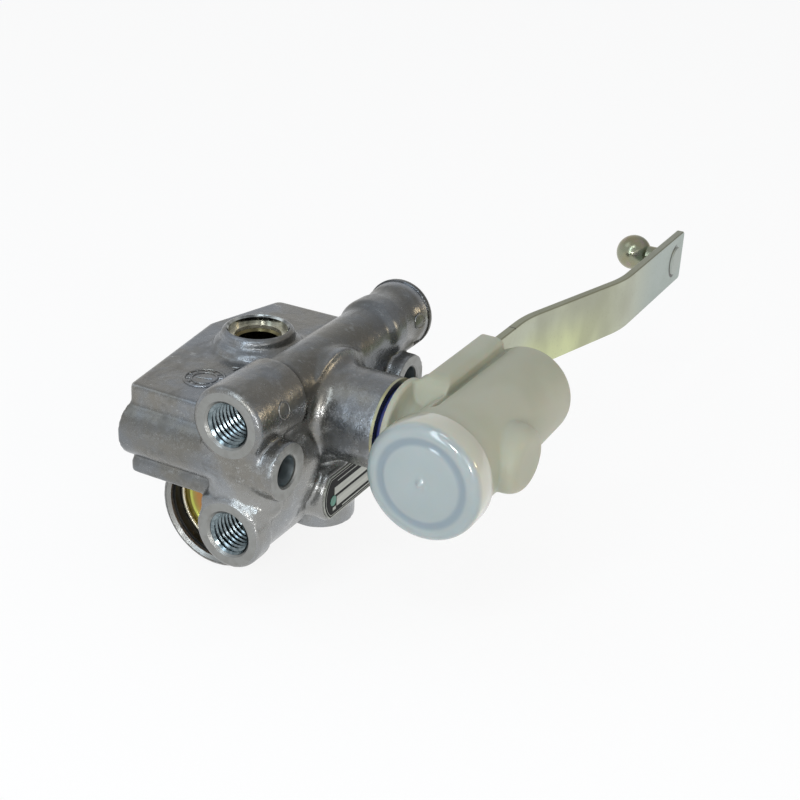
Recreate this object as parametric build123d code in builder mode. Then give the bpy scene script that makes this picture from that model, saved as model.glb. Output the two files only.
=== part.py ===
from build123d import *
import math
import os

# Levelling valve for an air-sprung axle: a die-cast housing with a lever head on its right-hand side.
# Millimetres. +X runs along the lever shaft, out of the housing. +Y is the way the lever points.
# +Z is up. The origin is midway between the two mounting holes, in the plane of their boss faces.

# Housing body
hole_spacing = 65.0
mount_hole_r = 4.2
mount_boss_r = 7.9
housing_width = 48.5
plate_half_height = 13.0
plate_front_margin = 2.5
plate_back_margin = 4.0
plate_side_x = -5.0
plate_bow = 6.8
plate_bow_y = 10.5
casting_round = 1.2
root_round = 2.5
shaft_root_round = 4.0

# Air ports M12 x 1.5, bored to the thread's outer radius, and the tubes that carry them
port_r = 6.0
port_chamfer = 0.4
port_depth = 13.0
passage_r = 3.0
drilling_r = 2.2
tube_x = -13.5
tube_z = 12.5
tube_r = 8.6
tube_back_y = 52.0
front_boss_r = 10.4
front_boss_length = 22.0
back_boss_r = 10.6
back_boss_length = 15.0
lower_port_z = -19.0
lower_boss_r = 9.9
lower_boss_length = 6.5
lower_tube_r = 8.9

# Push-in supply port on top, with the check valve under it
top_port_x = -34.5
top_port_y = 5.0
top_port_rise = 5.6
top_port_boss_r = 10.4
top_port_mouth_r = 8.3
top_port_mouth_depth = 3.4
top_port_bore_r = 7.3
top_port_depth = 17.0
collet_wall = 1.3
collet_height = 8.0
retainer_wire = 0.5
retainer_split_deg = 40.0
port_seal_wire = 0.9
check_seat_height = 2.0
check_seat_hole_r = 2.2
check_bore_r = 4.0
check_bore_depth = 9.2
check_disc_r = 3.6
check_disc_height = 1.6
check_stem_r = 1.3
check_stem_length = 4.2
check_lift = 1.8

# Exhaust chamber, low on the front left
chamber_x = -31.5
chamber_z = -27.0
chamber_front_y = -22.5
chamber_boss_length = 26.0
chamber_boss_r = 17.1
chamber_mouth_r = 14.9
chamber_mouth_depth = 2.2
chamber_bore_r = 14.2
chamber_depth = 12.5
ring_setback = 4.6
ring_thickness = 1.2
ring_width = 2.2
dish_sheet = 0.8
dish_depth = 3.6
dish_floor_r = 8.6
dish_hole_r = 3.2
flap_r = 5.6
flap_thickness = 1.0
silencer_gap = 0.3

# Lever shaft with its bearing and seals
shaft_z = 3.0
shaft_boss_r = 13.1
shaft_boss_x = 12.2
shaft_r = 5.0
shaft_neck_r = 4.0
shaft_flange_r = 5.9
shaft_flange_width = 1.0
bush_wall = 1.2
bush_length = 11.6
seal_pocket_r = 9.5
seal_pocket_depth = 4.5
lip_seal_width = 2.8
washer_r = 13.0
washer_thickness = 0.8
dust_seal_r = 11.6
dust_seal_bore_r = 6.4
lever_turn_deg = 40.0

# Control spool in an upright bore under the shaft, moved by the shaft's eccentric pin
control_x = -10.4
control_boss_r = 10.0
control_bottom_z = -30.8
spool_r = 5.95
spool_top_z = 6.9
spool_bottom_z = -24.1
spool_waist_r = 4.0
spool_bore_r = 1.5
spool_cross_z = -14.0
spool_lap = 0.3
sleeve_wall = 2.0
sleeve_top_z = -4.0
sleeve_bottom_z = -25.5
sleeve_seal_zs = (-4.9, -12.5)
sleeve_seal_wire = 0.7
control_ceiling_z = 8.6
plug_height = 3.0
plug_ring_height = 1.0
eccentric_offset = 2.0
eccentric_r = 2.0
eccentric_play = 0.15
eccentric_reach = 3.5

# Data plate on its pad under the shaft boss
pad_margin = 0.8
plate_length = 30.4
plate_end_r = 8.0
plate_low_z = -24.1
plate_high_z = -11.4
plate_sheet = 0.6

# Lever head, moulded in natural nylon
head_gap = 3.1
disc_r = 13.8
disc_rim = 1.8
hub_r = 10.2
hub_reach = 8.0
barrel_x = 33.7
barrel_r = 14.7
barrel_front_y = -23.0
barrel_back_y = 36.6
barrel_round = 1.6
spring_bore_r = 6.2
spring_bore_back_y = 21.5
mouth_r = 12.2
mouth_depth = 8.0
holder_x = 19.4
holder_top_z = 18.5
holder_front_y = -9.0
holder_width = 8.8
holder_round = 4.0
end_boss_r = 8.9
end_boss_x = 52.0
shaft_socket_x = 46.5
cap_r = 16.1
cap_length = 8.4
cap_face = 1.8
cap_skirt = 1.3
cap_groove_r = 13.2
cap_groove_width = 0.9
cap_groove_depth = 0.5
cap_spigot_length = 4.0
gate_r = 1.6
gate_height = 0.6

# Override device: a piston held mid-way by two springs, which a pin on the shaft pushes
override_deg = 30.0
piston_r = 6.15
piston_half_length = 9.5
pin_r = 1.0
pin_reach = 5.8
piston_travel = 2.65
notch_play = 0.7
override_wire_r = 0.6
override_coil_r = 4.9
override_turns = 4

# Steel lever and its ball stud
lever_x = 23.3
lever_step = 12.8
lever_thickness = 2.5
lever_height = 17.4
lever_mid_z = 9.2
lever_insert = 15.5
lever_bend_y = 56.0
lever_second_bend_y = 103.0
lever_bend_r = 14.0
lever_end_margin = 7.5
lever_corner = 1.2
ball_r = 6.0
ball_y = 152.5
ball_offset = 12.4
stud_neck_r = 3.2
stud_collar_r = 4.8
stud_collar_height = 2.6
stud_rivet_r = 4.9
stud_rivet_height = 0.5

# Clearances
running_gap = 0.05
static_gap = 0.02
seat_gap = 0.1
free_gap = 0.3

# Worked out from the sizes above
half_spacing = hole_spacing / 2
tube_front_y = -half_spacing - mount_boss_r - seat_gap
plate_front_y = -half_spacing - plate_front_margin
plate_back_y = half_spacing + plate_back_margin
top_port_rim_z = plate_half_height + top_port_rise
check_seat_bottom_z = top_port_rim_z - top_port_depth
sleeve_bore_r = spool_r + running_gap
sleeve_r = sleeve_bore_r + sleeve_wall
shaft_bore_r = shaft_r + bush_wall + running_gap
bush_end_x = shaft_boss_x - seal_pocket_depth
journal_end_x = control_x + spool_r + free_gap
head_x = shaft_boss_x + head_gap
shaft_end_x = shaft_socket_x - free_gap
lever_mid_x = lever_x + lever_thickness / 2
lever_outer_x = lever_x + lever_step
lever_end_y = ball_y + lever_end_margin
barrel_length = barrel_back_y - barrel_front_y
rivet_face_x = lever_outer_x + lever_thickness
supply_groove_z = sleeve_top_z - passage_r
exhaust_z = sleeve_bottom_z + passage_r
exhaust_x = chamber_x + chamber_bore_r / 2

os.makedirs("parts", exist_ok=True)


def save(part, name):
    # Label the finished piece and write it under the same name.
    part.label = name
    export_step(part, f"parts/{name}.step")


def x_axis_plane(x, y=0.0, z=0.0):
    # A plane that faces along the shaft, with its own x along +Y and its own y along +Z.
    return Plane(origin=(x, y, z), x_dir=(0, 1, 0), z_dir=(1, 0, 0))


def y_axis_plane(y, x=0.0, z=0.0):
    # A plane that faces along the lever, with its own x along +Z and its own y along +X.
    return Plane(origin=(x, y, z), x_dir=(0, 0, 1), z_dir=(0, 1, 0))


def ring(plane, outer_r, inner_r, length):
    # A plain washer or sleeve that grows from the plane along its normal.
    with BuildPart() as made:
        with BuildSketch(plane):
            Circle(outer_r)
            Circle(inner_r, mode=Mode.SUBTRACT)
        extrude(amount=length)
    return made.part


def round_seal(plane, mid_r, wire_r):
    # An O-ring lying in the plane.
    with BuildPart() as made:
        with BuildSketch(Plane(origin=plane.origin, x_dir=plane.x_dir, z_dir=-plane.y_dir)):
            with Locations((mid_r, 0)):
                Circle(wire_r)
        revolve(axis=Axis(plane.origin, plane.z_dir))
    return made.part


def coil_spring(plane, length, coil_r, wire_r, turns):
    # A compression spring along the plane's normal, its wire kept inside the given length.
    rise = length - 2 * wire_r
    start = plane.offset(wire_r).origin
    with BuildPart() as made:
        with BuildLine() as path:
            Helix(pitch=rise / turns, height=rise, radius=coil_r, center=start, direction=plane.z_dir)
        with BuildSketch(Plane(origin=path.line @ 0, z_dir=path.line % 0)):
            Circle(wire_r)
        sweep(path=path.line, is_frenet=True)
    return made.part


# Housing: aluminium die casting with the air ports, the bolt bosses and the bores
with BuildPart() as housing:
    # Body plate, seen from above as a block with a bowed left side
    with BuildSketch(Plane.XY.offset(-plate_half_height)):
        with BuildLine():
            Polyline(
                (plate_side_x, plate_front_y),
                (-housing_width, plate_front_y),
                (-housing_width - plate_bow, plate_bow_y),
                (-housing_width, plate_back_y),
                (plate_side_x, plate_back_y),
                close=True,
            )
        make_face()
    extrude(amount=2 * plate_half_height)
    fillet(housing.edges().filter_by(Axis.Z), radius=2 * casting_round)
    fillet(housing.faces().sort_by(Axis.Z)[-1].edges(), radius=casting_round)

    # Bolt bosses along the front and back faces
    with BuildSketch(x_axis_plane(-housing_width)):
        with Locations((-half_spacing, 0), (half_spacing, 0)):
            Circle(mount_boss_r)
    extrude(amount=housing_width)

    # Upper tube between the two outlet ports, on a rib down to the plate
    with BuildSketch(y_axis_plane(tube_front_y + 1, tube_x, tube_z)):
        Circle(tube_r)
        with Locations((-tube_r / 2, 0)):
            Rectangle(tube_r, 2 * tube_r)
    extrude(amount=tube_back_y - tube_front_y - back_boss_length)
    with BuildSketch(y_axis_plane(tube_front_y, tube_x, tube_z)):
        Circle(front_boss_r)
    extrude(amount=front_boss_length)
    with BuildSketch(y_axis_plane(tube_back_y, tube_x, tube_z)):
        Circle(back_boss_r)
    extrude(amount=-back_boss_length)

    # Lower tube from the inlet port back to the control boss
    with BuildSketch(y_axis_plane(tube_front_y + 1, tube_x, lower_port_z)):
        Circle(lower_tube_r)
        with Locations((lower_tube_r / 2, 0)):
            Rectangle(lower_tube_r, 2 * lower_tube_r)
    extrude(amount=-tube_front_y - 1)
    with BuildSketch(y_axis_plane(tube_front_y, tube_x, lower_port_z)):
        Circle(lower_boss_r)
    extrude(amount=lower_boss_length)

    # Control boss, upright under the shaft, and the pad for the data plate
    with BuildSketch(Plane.XY.offset(control_bottom_z)):
        with Locations((control_x, 0)):
            Circle(control_boss_r)
    extrude(amount=-control_bottom_z)
    with BuildSketch(x_axis_plane(control_x, 0, (plate_low_z + plate_high_z) / 2)):
        SlotOverall(plate_length + 2 * pad_margin, 2 * (plate_end_r + pad_margin))
        pad_height = plate_high_z - plate_low_z + 2 * pad_margin
        Rectangle(plate_length + 2 * pad_margin, pad_height, mode=Mode.INTERSECT)
    extrude(amount=-control_x)

    # Exhaust chamber boss
    with BuildSketch(y_axis_plane(chamber_front_y, chamber_x, chamber_z)):
        Circle(chamber_boss_r)
    extrude(amount=chamber_boss_length)

    # Shaft boss, turned about the shaft, with a hollow round at its root
    with BuildSketch(Plane.XY.offset(shaft_z)):
        with BuildLine():
            root_x = plate_side_x + shaft_root_round
            Polyline(
                (root_x, shaft_boss_r),
                (shaft_boss_x, shaft_boss_r),
                (shaft_boss_x, 0),
                (control_x, 0),
                (control_x, shaft_boss_r + shaft_root_round),
                (plate_side_x, shaft_boss_r + shaft_root_round),
            )
            RadiusArc(
                (plate_side_x, shaft_boss_r + shaft_root_round),
                (root_x, shaft_boss_r),
                -shaft_root_round,
            )
        make_face()
    revolve(axis=Axis((0, 0, shaft_z), (1, 0, 0)))

    # Top port boss with a flared foot
    with BuildSketch(Plane.XZ.offset(-top_port_y)):
        with BuildLine():
            foot_r = top_port_boss_r + root_round
            Line((top_port_x, plate_half_height - 1), (top_port_x + foot_r, plate_half_height - 1))
            Line((top_port_x + foot_r, plate_half_height - 1), (top_port_x + foot_r, plate_half_height))
            RadiusArc(
                (top_port_x + foot_r, plate_half_height),
                (top_port_x + top_port_boss_r, plate_half_height + root_round),
                -root_round,
            )
            Line(
                (top_port_x + top_port_boss_r, plate_half_height + root_round),
                (top_port_x + top_port_boss_r, top_port_rim_z),
            )
            Line((top_port_x + top_port_boss_r, top_port_rim_z), (top_port_x, top_port_rim_z))
            Line((top_port_x, top_port_rim_z), (top_port_x, plate_half_height - 1))
        make_face()
    revolve(axis=Axis((top_port_x, top_port_y, 0), (0, 0, 1)))

    # Bolt holes, right through
    with BuildSketch(x_axis_plane(-housing_width - plate_bow)):
        with Locations((-half_spacing, 0), (half_spacing, 0)):
            Circle(mount_hole_r)
    extrude(amount=housing_width + plate_bow, mode=Mode.SUBTRACT)

    # Upper outlet ports and the passage between them
    with BuildSketch(y_axis_plane(tube_front_y, tube_x, tube_z)):
        Circle(passage_r)
    extrude(amount=tube_back_y - tube_front_y, mode=Mode.SUBTRACT)
    for port_y, inward in ((tube_front_y, 1), (tube_back_y, -1)):
        with BuildSketch(y_axis_plane(port_y, tube_x, tube_z)):
            Circle(port_r)
        extrude(amount=inward * port_depth, mode=Mode.SUBTRACT)

    # Lower port and its passage to the control bore
    with BuildSketch(y_axis_plane(tube_front_y, tube_x, lower_port_z)):
        Circle(port_r)
    extrude(amount=port_depth, mode=Mode.SUBTRACT)
    with BuildSketch(y_axis_plane(tube_front_y, tube_x, lower_port_z)):
        Circle(passage_r)
    extrude(amount=-tube_front_y, mode=Mode.SUBTRACT)

    # Chamfered port mouths
    mouths = housing.edges().filter_by(GeomType.CIRCLE).filter_by(lambda e: abs(e.radius - port_r) < 0.01)
    front_mouths = mouths.filter_by(lambda e: abs(e.center().Y - tube_front_y) < 0.01)
    back_mouths = mouths.filter_by(lambda e: abs(e.center().Y - tube_back_y) < 0.01)
    chamfer(front_mouths + back_mouths, length=port_chamfer)

    # Control bore: spool ceiling above, sleeve bore below
    with BuildSketch(Plane.XY.offset(control_ceiling_z)):
        with Locations((control_x, 0)):
            Circle(sleeve_bore_r)
    extrude(amount=control_bottom_z - control_ceiling_z, mode=Mode.SUBTRACT)
    with BuildSketch(Plane.XY.offset(sleeve_top_z)):
        with Locations((control_x, 0)):
            Circle(sleeve_r + static_gap)
    extrude(amount=control_bottom_z - sleeve_top_z, mode=Mode.SUBTRACT)

    # Drilling from the upper tube down into the control bore
    with BuildSketch(Plane.XY.offset(tube_z)):
        with Locations((tube_x, 0)):
            Circle(drilling_r)
    extrude(amount=control_ceiling_z - tube_z - 1, mode=Mode.SUBTRACT)

    # Shaft bore with the seal pocket at its mouth
    with BuildSketch(x_axis_plane(control_x, 0, shaft_z)):
        Circle(shaft_bore_r)
    extrude(amount=shaft_boss_x - control_x, mode=Mode.SUBTRACT)
    with BuildSketch(x_axis_plane(shaft_boss_x, 0, shaft_z)):
        Circle(seal_pocket_r)
    extrude(amount=-seal_pocket_depth, mode=Mode.SUBTRACT)

    # Supply port: mouth, bore, check valve bore and its drilling to the sleeve
    with BuildSketch(Plane.XY.offset(top_port_rim_z)):
        with Locations((top_port_x, top_port_y)):
            Circle(top_port_mouth_r)
    extrude(amount=-top_port_mouth_depth, mode=Mode.SUBTRACT)
    with BuildSketch(Plane.XY.offset(top_port_rim_z)):
        with Locations((top_port_x, top_port_y)):
            Circle(top_port_bore_r)
    extrude(amount=-top_port_depth, mode=Mode.SUBTRACT)
    with BuildSketch(Plane.XY.offset(check_seat_bottom_z)):
        with Locations((top_port_x, top_port_y)):
            Circle(check_bore_r)
    extrude(amount=-check_bore_depth, mode=Mode.SUBTRACT)
    with BuildSketch(x_axis_plane(top_port_x, top_port_y, supply_groove_z)):
        Circle(drilling_r)
    extrude(amount=control_x - top_port_x, mode=Mode.SUBTRACT)

    # Exhaust chamber and its drillings to the sleeve
    with BuildSketch(y_axis_plane(chamber_front_y, chamber_x, chamber_z)):
        Circle(chamber_mouth_r)
    extrude(amount=chamber_mouth_depth, mode=Mode.SUBTRACT)
    with BuildSketch(y_axis_plane(chamber_front_y, chamber_x, chamber_z)):
        Circle(chamber_bore_r)
    extrude(amount=chamber_depth, mode=Mode.SUBTRACT)
    with BuildSketch(y_axis_plane(chamber_front_y, exhaust_x, exhaust_z)):
        Circle(drilling_r)
    extrude(amount=-chamber_front_y, mode=Mode.SUBTRACT)
    with BuildSketch(x_axis_plane(exhaust_x, 0, exhaust_z)):
        Circle(drilling_r)
    extrude(amount=control_x - exhaust_x, mode=Mode.SUBTRACT)
save(housing.part, "housing")

# Collet sleeve pressed into the supply port
collet_top_z = top_port_rim_z - top_port_mouth_depth
with BuildPart() as collet:
    with BuildSketch(Plane.XY.offset(collet_top_z - collet_height)):
        with Locations((top_port_x, top_port_y)):
            Circle(top_port_bore_r - static_gap)
            Circle(top_port_bore_r - collet_wall, mode=Mode.SUBTRACT)
    extrude(amount=collet_height)
    inner_edges = collet.edges().filter_by(GeomType.CIRCLE).sort_by(SortBy.RADIUS)[0:2]
    chamfer(inner_edges.sort_by(Axis.Z)[-1], length=collet_wall / 2)
save(collet.part, "supply_port_collet")

# Snap ring that holds the collet, lying in the port's mouth
with BuildPart() as retainer:
    with BuildSketch(Plane.XY.offset(collet_top_z + static_gap)):
        with Locations((top_port_x, top_port_y)):
            Circle(top_port_mouth_r - static_gap)
            Circle(top_port_bore_r - collet_wall / 2, mode=Mode.SUBTRACT)
        with BuildLine(mode=Mode.ADD):
            split_edge = PolarLine(
                (top_port_x, top_port_y), 2 * top_port_boss_r, -retainer_split_deg / 2, mode=Mode.PRIVATE
            )
            Polyline(
                (top_port_x, top_port_y),
                split_edge @ 1,
                (top_port_x + 2 * top_port_boss_r, top_port_y + (top_port_y - (split_edge @ 1).Y)),
                close=True,
            )
        make_face(mode=Mode.SUBTRACT)
    extrude(amount=2 * retainer_wire)
save(retainer.part, "supply_port_snap_ring")

# Port seal under the collet
port_seal_z = collet_top_z - collet_height - port_seal_wire - static_gap
port_seal_plane = Plane(origin=(top_port_x, top_port_y, port_seal_z))
port_seal = round_seal(port_seal_plane, top_port_bore_r - port_seal_wire - static_gap, port_seal_wire)
save(port_seal, "supply_port_seal")

# Check valve seat at the bottom of the supply port
check_seat_plane = Plane(origin=(top_port_x, top_port_y, check_seat_bottom_z))
check_seat = ring(check_seat_plane, top_port_bore_r - static_gap, check_seat_hole_r, check_seat_height)
save(check_seat, "check_valve_seat")

# Check valve: a disc with a guide stem, pushed up against the seat
check_top_z = check_seat_bottom_z - seat_gap
with BuildPart() as check_valve:
    with BuildSketch(Plane.XY.offset(check_top_z)):
        with Locations((top_port_x, top_port_y)):
            Circle(check_disc_r)
    extrude(amount=-check_disc_height)
    with BuildSketch(Plane.XY.offset(check_top_z - check_disc_height)):
        with Locations((top_port_x, top_port_y)):
            Circle(check_stem_r)
    extrude(amount=-check_stem_length)
    fillet(check_valve.edges().sort_by(Axis.Z)[-1], radius=seat_gap)
save(check_valve.part, "check_valve")

# Spring under the check valve
check_floor_z = check_seat_bottom_z - check_bore_depth
check_spring_length = check_top_z - check_disc_height - check_floor_z
check_spring_plane = Plane(origin=(top_port_x, top_port_y, check_floor_z))
check_spring = coil_spring(check_spring_plane, check_spring_length, check_stem_r + 1.2, 0.4, 4)
save(check_spring, "check_valve_spring")

# Pressed dish in the exhaust chamber, with a hole that the rubber flap covers
dish_y = chamber_front_y + ring_setback + ring_thickness
with BuildPart() as dish:
    with BuildSketch(Plane.XY.offset(chamber_z)):
        with BuildLine():
            rim_r = chamber_bore_r - static_gap
            wall_r = chamber_bore_r - ring_width
            FilletPolyline(
                (chamber_x + rim_r, dish_y + dish_sheet),
                (chamber_x + wall_r, dish_y + dish_sheet),
                (chamber_x + dish_floor_r, dish_y + dish_depth),
                (chamber_x + dish_hole_r, dish_y + dish_depth),
                radius=dish_sheet,
            )
            FilletPolyline(
                (chamber_x + rim_r, dish_y),
                (chamber_x + wall_r - dish_sheet / 2, dish_y),
                (chamber_x + dish_floor_r - dish_sheet / 2, dish_y + dish_depth - dish_sheet),
                (chamber_x + dish_hole_r, dish_y + dish_depth - dish_sheet),
                radius=dish_sheet,
            )
            Line((chamber_x + rim_r, dish_y), (chamber_x + rim_r, dish_y + dish_sheet))
            Line(
                (chamber_x + dish_hole_r, dish_y + dish_depth - dish_sheet),
                (chamber_x + dish_hole_r, dish_y + dish_depth),
            )
        make_face()
    revolve(axis=Axis((chamber_x, 0, chamber_z), (0, 1, 0)))
save(dish.part, "exhaust_dish")

# Rubber flap over the dish's hole, with a stub that buttons through it
flap_y = dish_y + dish_depth - dish_sheet - static_gap
with BuildPart() as flap:
    with BuildSketch(y_axis_plane(flap_y, chamber_x, chamber_z)):
        Circle(flap_r)
    extrude(amount=-flap_thickness)
    with BuildSketch(y_axis_plane(flap_y, chamber_x, chamber_z)):
        Circle(dish_hole_r - static_gap)
    extrude(amount=dish_sheet + 2 * static_gap)
    with BuildSketch(y_axis_plane(flap_y - flap_thickness, chamber_x, chamber_z)):
        Circle(dish_hole_r / 2)
    extrude(amount=-flap_thickness / 2)
save(flap.part, "exhaust_flap")

# Spring retaining ring in front of the dish, open at the bottom
with BuildPart() as chamber_ring:
    with BuildSketch(y_axis_plane(dish_y - static_gap, chamber_x, chamber_z)):
        Circle(chamber_bore_r - static_gap)
        Circle(chamber_bore_r - ring_width, mode=Mode.SUBTRACT)
        with Locations((-chamber_bore_r, 0)):
            Rectangle(4 * ring_width, 3 * ring_width, mode=Mode.SUBTRACT)
    extrude(amount=-ring_thickness)
save(chamber_ring.part, "exhaust_retaining_ring")

# Silencer pad behind the dish
silencer_y = dish_y + dish_depth + silencer_gap
silencer_length = chamber_front_y + chamber_depth - silencer_y - static_gap
silencer_plane = y_axis_plane(silencer_y, chamber_x, chamber_z)
with BuildPart() as silencer:
    with BuildSketch(silencer_plane):
        Circle(chamber_bore_r - static_gap)
    extrude(amount=silencer_length)
    fillet(silencer.edges().sort_by(Axis.Y)[0], radius=casting_round)
save(silencer.part, "silencer_pad")

# Bearing bush for the shaft
bush_start_x = bush_end_x - bush_length
bush_plane = x_axis_plane(bush_start_x, 0, shaft_z)
shaft_bush = ring(bush_plane, shaft_bore_r - static_gap, shaft_r + running_gap, bush_length)
save(shaft_bush, "shaft_bush")

# Lip seal in the pocket, with a hollow back
lip_seal_x = shaft_boss_x - lip_seal_width - static_gap
with BuildPart() as lip_seal:
    with BuildSketch(x_axis_plane(lip_seal_x, 0, shaft_z)):
        Circle(seal_pocket_r - static_gap)
        Circle(shaft_r + running_gap, mode=Mode.SUBTRACT)
    extrude(amount=lip_seal_width)
    with BuildSketch(x_axis_plane(lip_seal_x, 0, shaft_z)):
        Circle(seal_pocket_r - 1.4)
        Circle(shaft_r + 1.4, mode=Mode.SUBTRACT)
    extrude(amount=lip_seal_width / 2, mode=Mode.SUBTRACT)
save(lip_seal.part, "shaft_lip_seal")

# Steel washer across the boss's end, which traps the shaft's flange
washer_plane = x_axis_plane(shaft_boss_x, 0, shaft_z)
washer = ring(washer_plane, washer_r, shaft_r + free_gap, washer_thickness)
save(washer, "shaft_washer")

# Blue dust seal between the washer and the lever head
dust_seal_x = shaft_boss_x + washer_thickness
dust_seal_width = head_x - dust_seal_x - free_gap
with BuildPart() as dust_seal:
    with BuildSketch(x_axis_plane(dust_seal_x, 0, shaft_z)):
        Circle(dust_seal_r)
        Circle(dust_seal_bore_r, mode=Mode.SUBTRACT)
    extrude(amount=dust_seal_width)
    outer_edges = dust_seal.edges().filter_by(GeomType.CIRCLE).sort_by(SortBy.RADIUS)[-2:]
    chamfer(outer_edges, length=dust_seal_width / 3)
save(dust_seal.part, "dust_seal")

# Valve sleeve with two grooves around it and a cross hole in each
with BuildPart() as sleeve:
    with BuildSketch(Plane.XY.offset(sleeve_bottom_z)):
        with Locations((control_x, 0)):
            Circle(sleeve_r)
            Circle(sleeve_bore_r, mode=Mode.SUBTRACT)
    extrude(amount=sleeve_top_z - sleeve_bottom_z)
    for groove_z in (supply_groove_z, lower_port_z, exhaust_z):
        with BuildSketch(Plane.XY.offset(groove_z - drilling_r / 2)):
            with Locations((control_x, 0)):
                Circle(sleeve_r)
                Circle(sleeve_r - sleeve_wall / 2, mode=Mode.SUBTRACT)
        extrude(amount=drilling_r, mode=Mode.SUBTRACT)
        with BuildSketch(Plane.YZ.offset(control_x - sleeve_r)):
            with Locations((0, groove_z)):
                Circle(drilling_r / 2)
        extrude(amount=2 * sleeve_r, mode=Mode.SUBTRACT)
    for land_z in sleeve_seal_zs:
        with BuildSketch(Plane.XY.offset(land_z - sleeve_seal_wire)):
            with Locations((control_x, 0)):
                Circle(sleeve_r)
                Circle(sleeve_r - 2 * sleeve_seal_wire, mode=Mode.SUBTRACT)
        extrude(amount=2 * sleeve_seal_wire, mode=Mode.SUBTRACT)
save(sleeve.part, "valve_sleeve")

# O-rings on the sleeve
sleeve_seals = [
    round_seal(Plane(origin=(control_x, 0, land_z)), sleeve_r - sleeve_seal_wire, sleeve_seal_wire - static_gap)
    for land_z in sleeve_seal_zs
]
save(Compound(children=sleeve_seals), "sleeve_seals")

# Closing plug and its ring at the bottom of the control boss
plug_top_z = sleeve_bottom_z - seat_gap
with BuildPart() as plug:
    with BuildSketch(Plane.XY.offset(plug_top_z)):
        with Locations((control_x, 0)):
            Circle(sleeve_r)
    extrude(amount=-plug_height)
    with BuildSketch(Plane.XY.offset(plug_top_z - plug_height)):
        with Locations((control_x, 0)):
            Circle(spool_waist_r)
    extrude(amount=plug_height / 2, mode=Mode.SUBTRACT)
save(plug.part, "control_bore_plug")

with BuildPart() as plug_ring:
    with BuildSketch(Plane.XY.offset(plug_top_z - plug_height - static_gap)):
        with Locations((control_x, 0)):
            Circle(sleeve_r)
            Circle(sleeve_r - sleeve_wall, mode=Mode.SUBTRACT)
        with Locations((control_x + sleeve_r, 0)):
            Rectangle(4 * sleeve_wall, 2 * sleeve_wall, mode=Mode.SUBTRACT)
    extrude(amount=-plug_ring_height)
save(plug_ring.part, "plug_snap_ring")

# Control spool: a waist between two lands, a bore down from its slotted head for the eccentric
supply_edge_z = supply_groove_z - drilling_r / 2 - spool_lap
exhaust_edge_z = exhaust_z + drilling_r / 2 + spool_lap
slot_high_y = eccentric_offset + eccentric_r + eccentric_play
slot_low_y = eccentric_offset * math.cos(math.radians(lever_turn_deg)) - eccentric_r - free_gap
with BuildPart() as spool:
    with BuildSketch(Plane.XY.offset(spool_bottom_z)):
        with Locations((control_x, 0)):
            Circle(spool_r)
    extrude(amount=spool_top_z - spool_bottom_z)
    with BuildSketch(Plane.XY.offset(exhaust_edge_z)):
        with Locations((control_x, 0)):
            Circle(spool_r)
            Circle(spool_waist_r, mode=Mode.SUBTRACT)
    extrude(amount=supply_edge_z - exhaust_edge_z, mode=Mode.SUBTRACT)
    with BuildSketch(x_axis_plane(control_x - spool_r)):
        with Locations(((slot_low_y + slot_high_y) / 2, shaft_z)):
            Rectangle(slot_high_y - slot_low_y, 2 * (eccentric_r + eccentric_play))
    extrude(amount=2 * spool_r, mode=Mode.SUBTRACT)
    with BuildSketch(Plane.XY.offset(spool_cross_z)):
        with Locations((control_x, 0)):
            Circle(spool_bore_r)
    extrude(amount=shaft_z - spool_cross_z, mode=Mode.SUBTRACT)
    with BuildSketch(x_axis_plane(control_x - spool_r)):
        with Locations((0, spool_cross_z)):
            Circle(spool_bore_r)
    extrude(amount=2 * spool_r, mode=Mode.SUBTRACT)
    chamfer(spool.edges().filter_by(GeomType.CIRCLE).sort_by(Axis.Z)[0], length=free_gap)
save(spool.part, "control_spool")

# Lever shaft: eccentric pin, journal, flange and the neck that carries the head
with BuildPart() as shaft:
    with BuildSketch(x_axis_plane(journal_end_x, 0, shaft_z)):
        Circle(shaft_r)
    extrude(amount=head_x + head_gap - journal_end_x)
    with BuildSketch(x_axis_plane(bush_end_x + seat_gap, 0, shaft_z)):
        Circle(shaft_flange_r)
    extrude(amount=shaft_flange_width)
    with BuildSketch(x_axis_plane(head_x, 0, shaft_z)):
        Circle(shaft_neck_r)
    extrude(amount=shaft_end_x - head_x)
    with BuildSketch(x_axis_plane(journal_end_x, eccentric_offset, shaft_z)):
        Circle(eccentric_r)
    extrude(amount=control_x - eccentric_reach - journal_end_x)
    with BuildSketch(Plane.XY.offset(shaft_z)):
        with Locations((barrel_x, 0)):
            Circle(pin_r)
    extrude(amount=shaft_r, both=True, mode=Mode.SUBTRACT)
    chamfer(shaft.edges().filter_by(GeomType.CIRCLE).sort_by(Axis.X)[-1], length=free_gap)
save(shaft.part, "lever_shaft")

# Drive pin pressed through the shaft's neck
with BuildPart() as drive_pin:
    with BuildSketch(Plane.XY.offset(shaft_z - shaft_neck_r)):
        with Locations((barrel_x, 0)):
            Circle(pin_r - static_gap)
    extrude(amount=shaft_neck_r + pin_reach)
    chamfer(drive_pin.edges().sort_by(Axis.Z)[-1], length=free_gap)
save(drive_pin.part, "override_pin")

# Holder block of the lever head, rounded along the barrel and at its front
with BuildPart() as holder:
    with BuildSketch(y_axis_plane(barrel_back_y)):
        with Locations(((shaft_z + holder_top_z) / 2, holder_x + holder_width / 2)):
            Rectangle(holder_top_z - shaft_z, holder_width)
    extrude(amount=holder_front_y - barrel_back_y)
    top_edges = holder.faces().sort_by(Axis.Z)[-1].edges()
    fillet([top_edges.sort_by(Axis.X)[-1], top_edges.sort_by(Axis.Y)[0]], radius=holder_round)

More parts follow.
